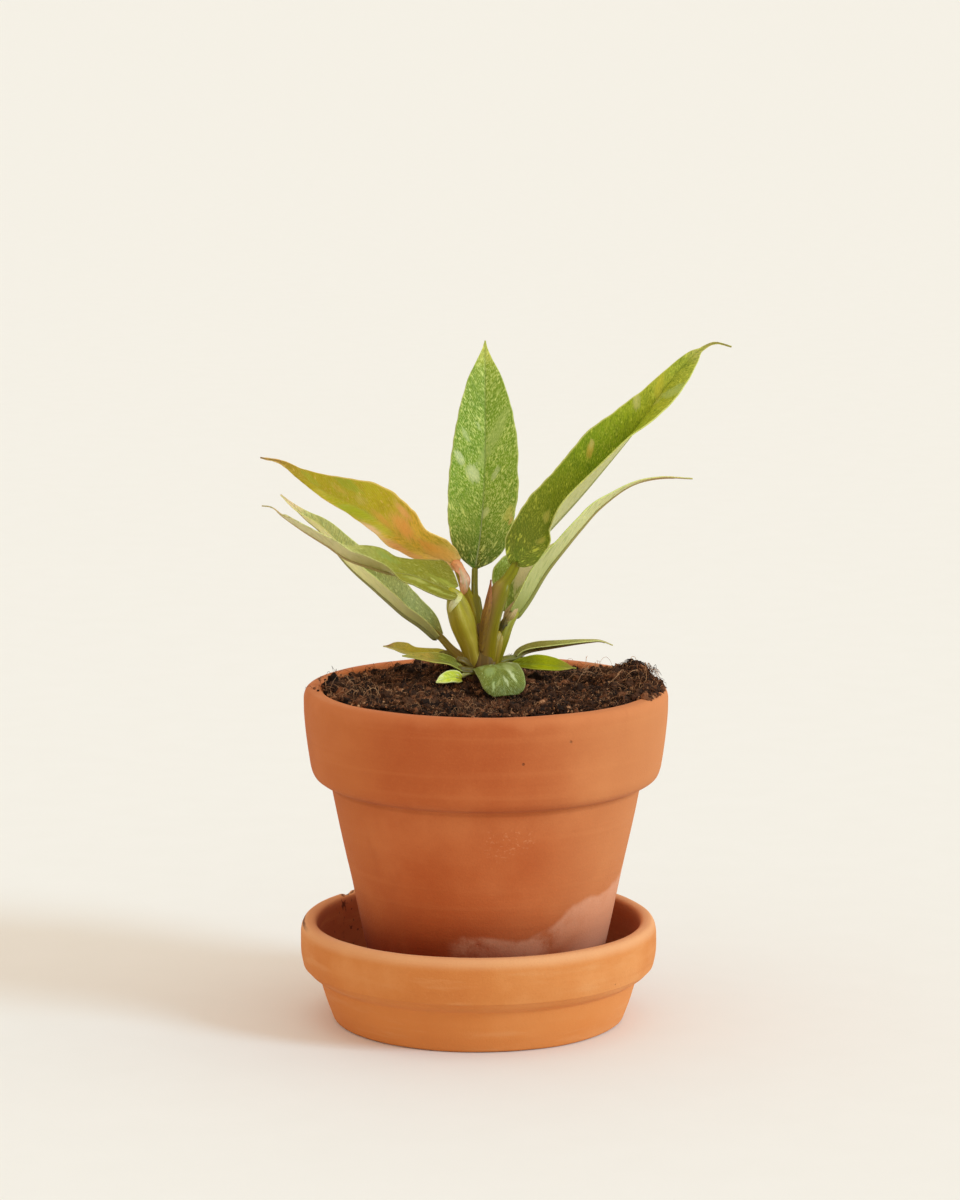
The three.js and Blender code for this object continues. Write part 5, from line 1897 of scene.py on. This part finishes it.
def threads(name, count, length, thick, rise, tone, bends=9, curve=0.8, start=None, limit=SOIL_REACH):
    """Many threads as one piece. Length, thick and rise are (least, more, power).

    Tone is (mean, spread, lowest, highest).
    """
    lengths, thickness, lift = varied(count, *length), varied(count, *thick), varied(count, *rise)
    tones = np.clip(draw.normal(*tone[:2], count), *tone[2:])
    t = np.linspace(0, 1, bends)
    radius = np.sqrt(draw.random(count)) * (POT_MOUTH - 1.5)
    angle = draw.random(count) * math.tau
    if start is None:
        start = np.stack([POT_AXIS + radius * np.cos(angle), radius * np.sin(angle)], 1)
    heading = draw.random(count) * math.tau
    bend = draw.normal(0, curve, count)
    waver = 0.35 * np.sin(math.tau * t * (0.6 + draw.random(count))[:, None])
    course = heading[:, None] + bend[:, None] * t + waver
    step = lengths[:, None] / (bends - 1)
    x = start[:, :1] + np.cumsum(np.cos(course) * step, 1)
    y = start[:, 1:] + np.cumsum(np.sin(course) * step, 1)
    away = np.hypot(x - POT_AXIS, y)
    x = np.where(away > limit, POT_AXIS + (x - POT_AXIS) * limit / away, x)
    y = np.where(away > limit, y * limit / away, y)
    ground = np.where(away > POT_MOUTH - 0.5, np.maximum(soil_height(x, y), POT_TOP), soil_height(x, y))
    z = ground - 0.35 + lift[:, None] * np.sin(math.pi * t) ** 0.8 + draw.normal(0, 0.12, x.shape)
    line = np.stack([x, y, z], 2)
    along = np.gradient(line, axis=1)
    along /= np.linalg.norm(along, axis=2)[:, :, None] + 1e-9
    side = np.cross(along, [0, 0, 1.0])
    side /= np.linalg.norm(side, axis=2)[:, :, None] + 1e-9
    over = np.cross(side, along)
    taper = (thickness[:, None] * (1 - 0.75 * np.abs(2 * t - 1) ** 3))[:, :, None]
    ring = [side * math.cos(a) + over * math.sin(a) for a in (0, math.tau / 3, 2 * math.tau / 3)]
    points = np.stack([line + direction * taper for direction in ring], 2)
    base = np.arange(count)[:, None, None] * bends * 3 + np.arange(bends - 1)[None, :, None] * 3
    k, n = np.arange(3), (np.arange(3) + 1) % 3
    quads = np.stack([base + k, base + n, base + n + 3, base + k + 3], 3).reshape(-1, 4)
    piece = mesh_piece(name, points.reshape(-1, 3), quads, np.repeat(tones, bends * 3))
    smooth(piece)
    return give_to_soil(piece)


DARK_THREADS, PALE_THREADS, FUZZ, OVERHANGING = 1300, 380, 5600, 520
triangles += threads(
    "soil_threads_dark", DARK_THREADS, (2.0, 5.0), (0.04, 0.04), (0.3, 1.0, 2), (0.36, 0.2, 0, 1),
)
triangles += threads(
    "soil_threads_pale", PALE_THREADS, (1.6, 5.4, 1.6), (0.035, 0.03), (0.5, 1.8, 2), (0.95, 0.2, 0.6, 1.4),
)
triangles += threads("soil_fuzz", FUZZ, (0.8, 1.8), (0.03, 0.025), (0.5, 1.1), (0.58, 0.32, 0, 1.3), bends=4)

# %% Threads over the rim, and hairs
RIGHT_SHARE = 0.96
is_right = draw.random(OVERHANGING) < RIGHT_SHARE
angle = np.where(is_right, draw.uniform(-20, 28, OVERHANGING), draw.uniform(150, 200, OVERHANGING))
angle = np.radians(angle)
radius = varied(OVERHANGING, POT_MOUTH - 3, 5.5)
start = np.stack([POT_AXIS + radius * np.cos(angle), radius * np.sin(angle)], 1)
triangles += threads(
    "soil_threads_rim", OVERHANGING, (1.5, 3.5, 1.6), (0.05, 0.05), (0.5, 2.0, 1.6), (0.5, 0.32, 0, 1.2),
    start=start, limit=RIM_REACH,
)

HAIR_TUFTS = np.array([(-38, -8), (-33, -14), (-41, 2), (38, 12), (45, -6), (30, 20), (48, 4)])
HAIRS, TUFT_SPREAD = 50, 3.2
start = HAIR_TUFTS[draw.integers(0, len(HAIR_TUFTS), HAIRS)] + draw.normal(0, TUFT_SPREAD, (HAIRS, 2))
from_axis = np.linalg.norm(start - np.array([POT_AXIS, 0]), axis=1)
start *= np.minimum(1, (POT_MOUTH - 2) / from_axis)[:, None]
triangles += threads(
    "soil_hairs", HAIRS, (5.0, 6.0), (0.05, 0.04), (1.2, 3.2), (1.15, 0.2, 0.7, 1.5), curve=1.1, start=start,
)

# %% [markdown]
# ## The end
#
# The last line prints how many triangles the pieces made here have.

# %% The count and the end
print("triangles added:", triangles)
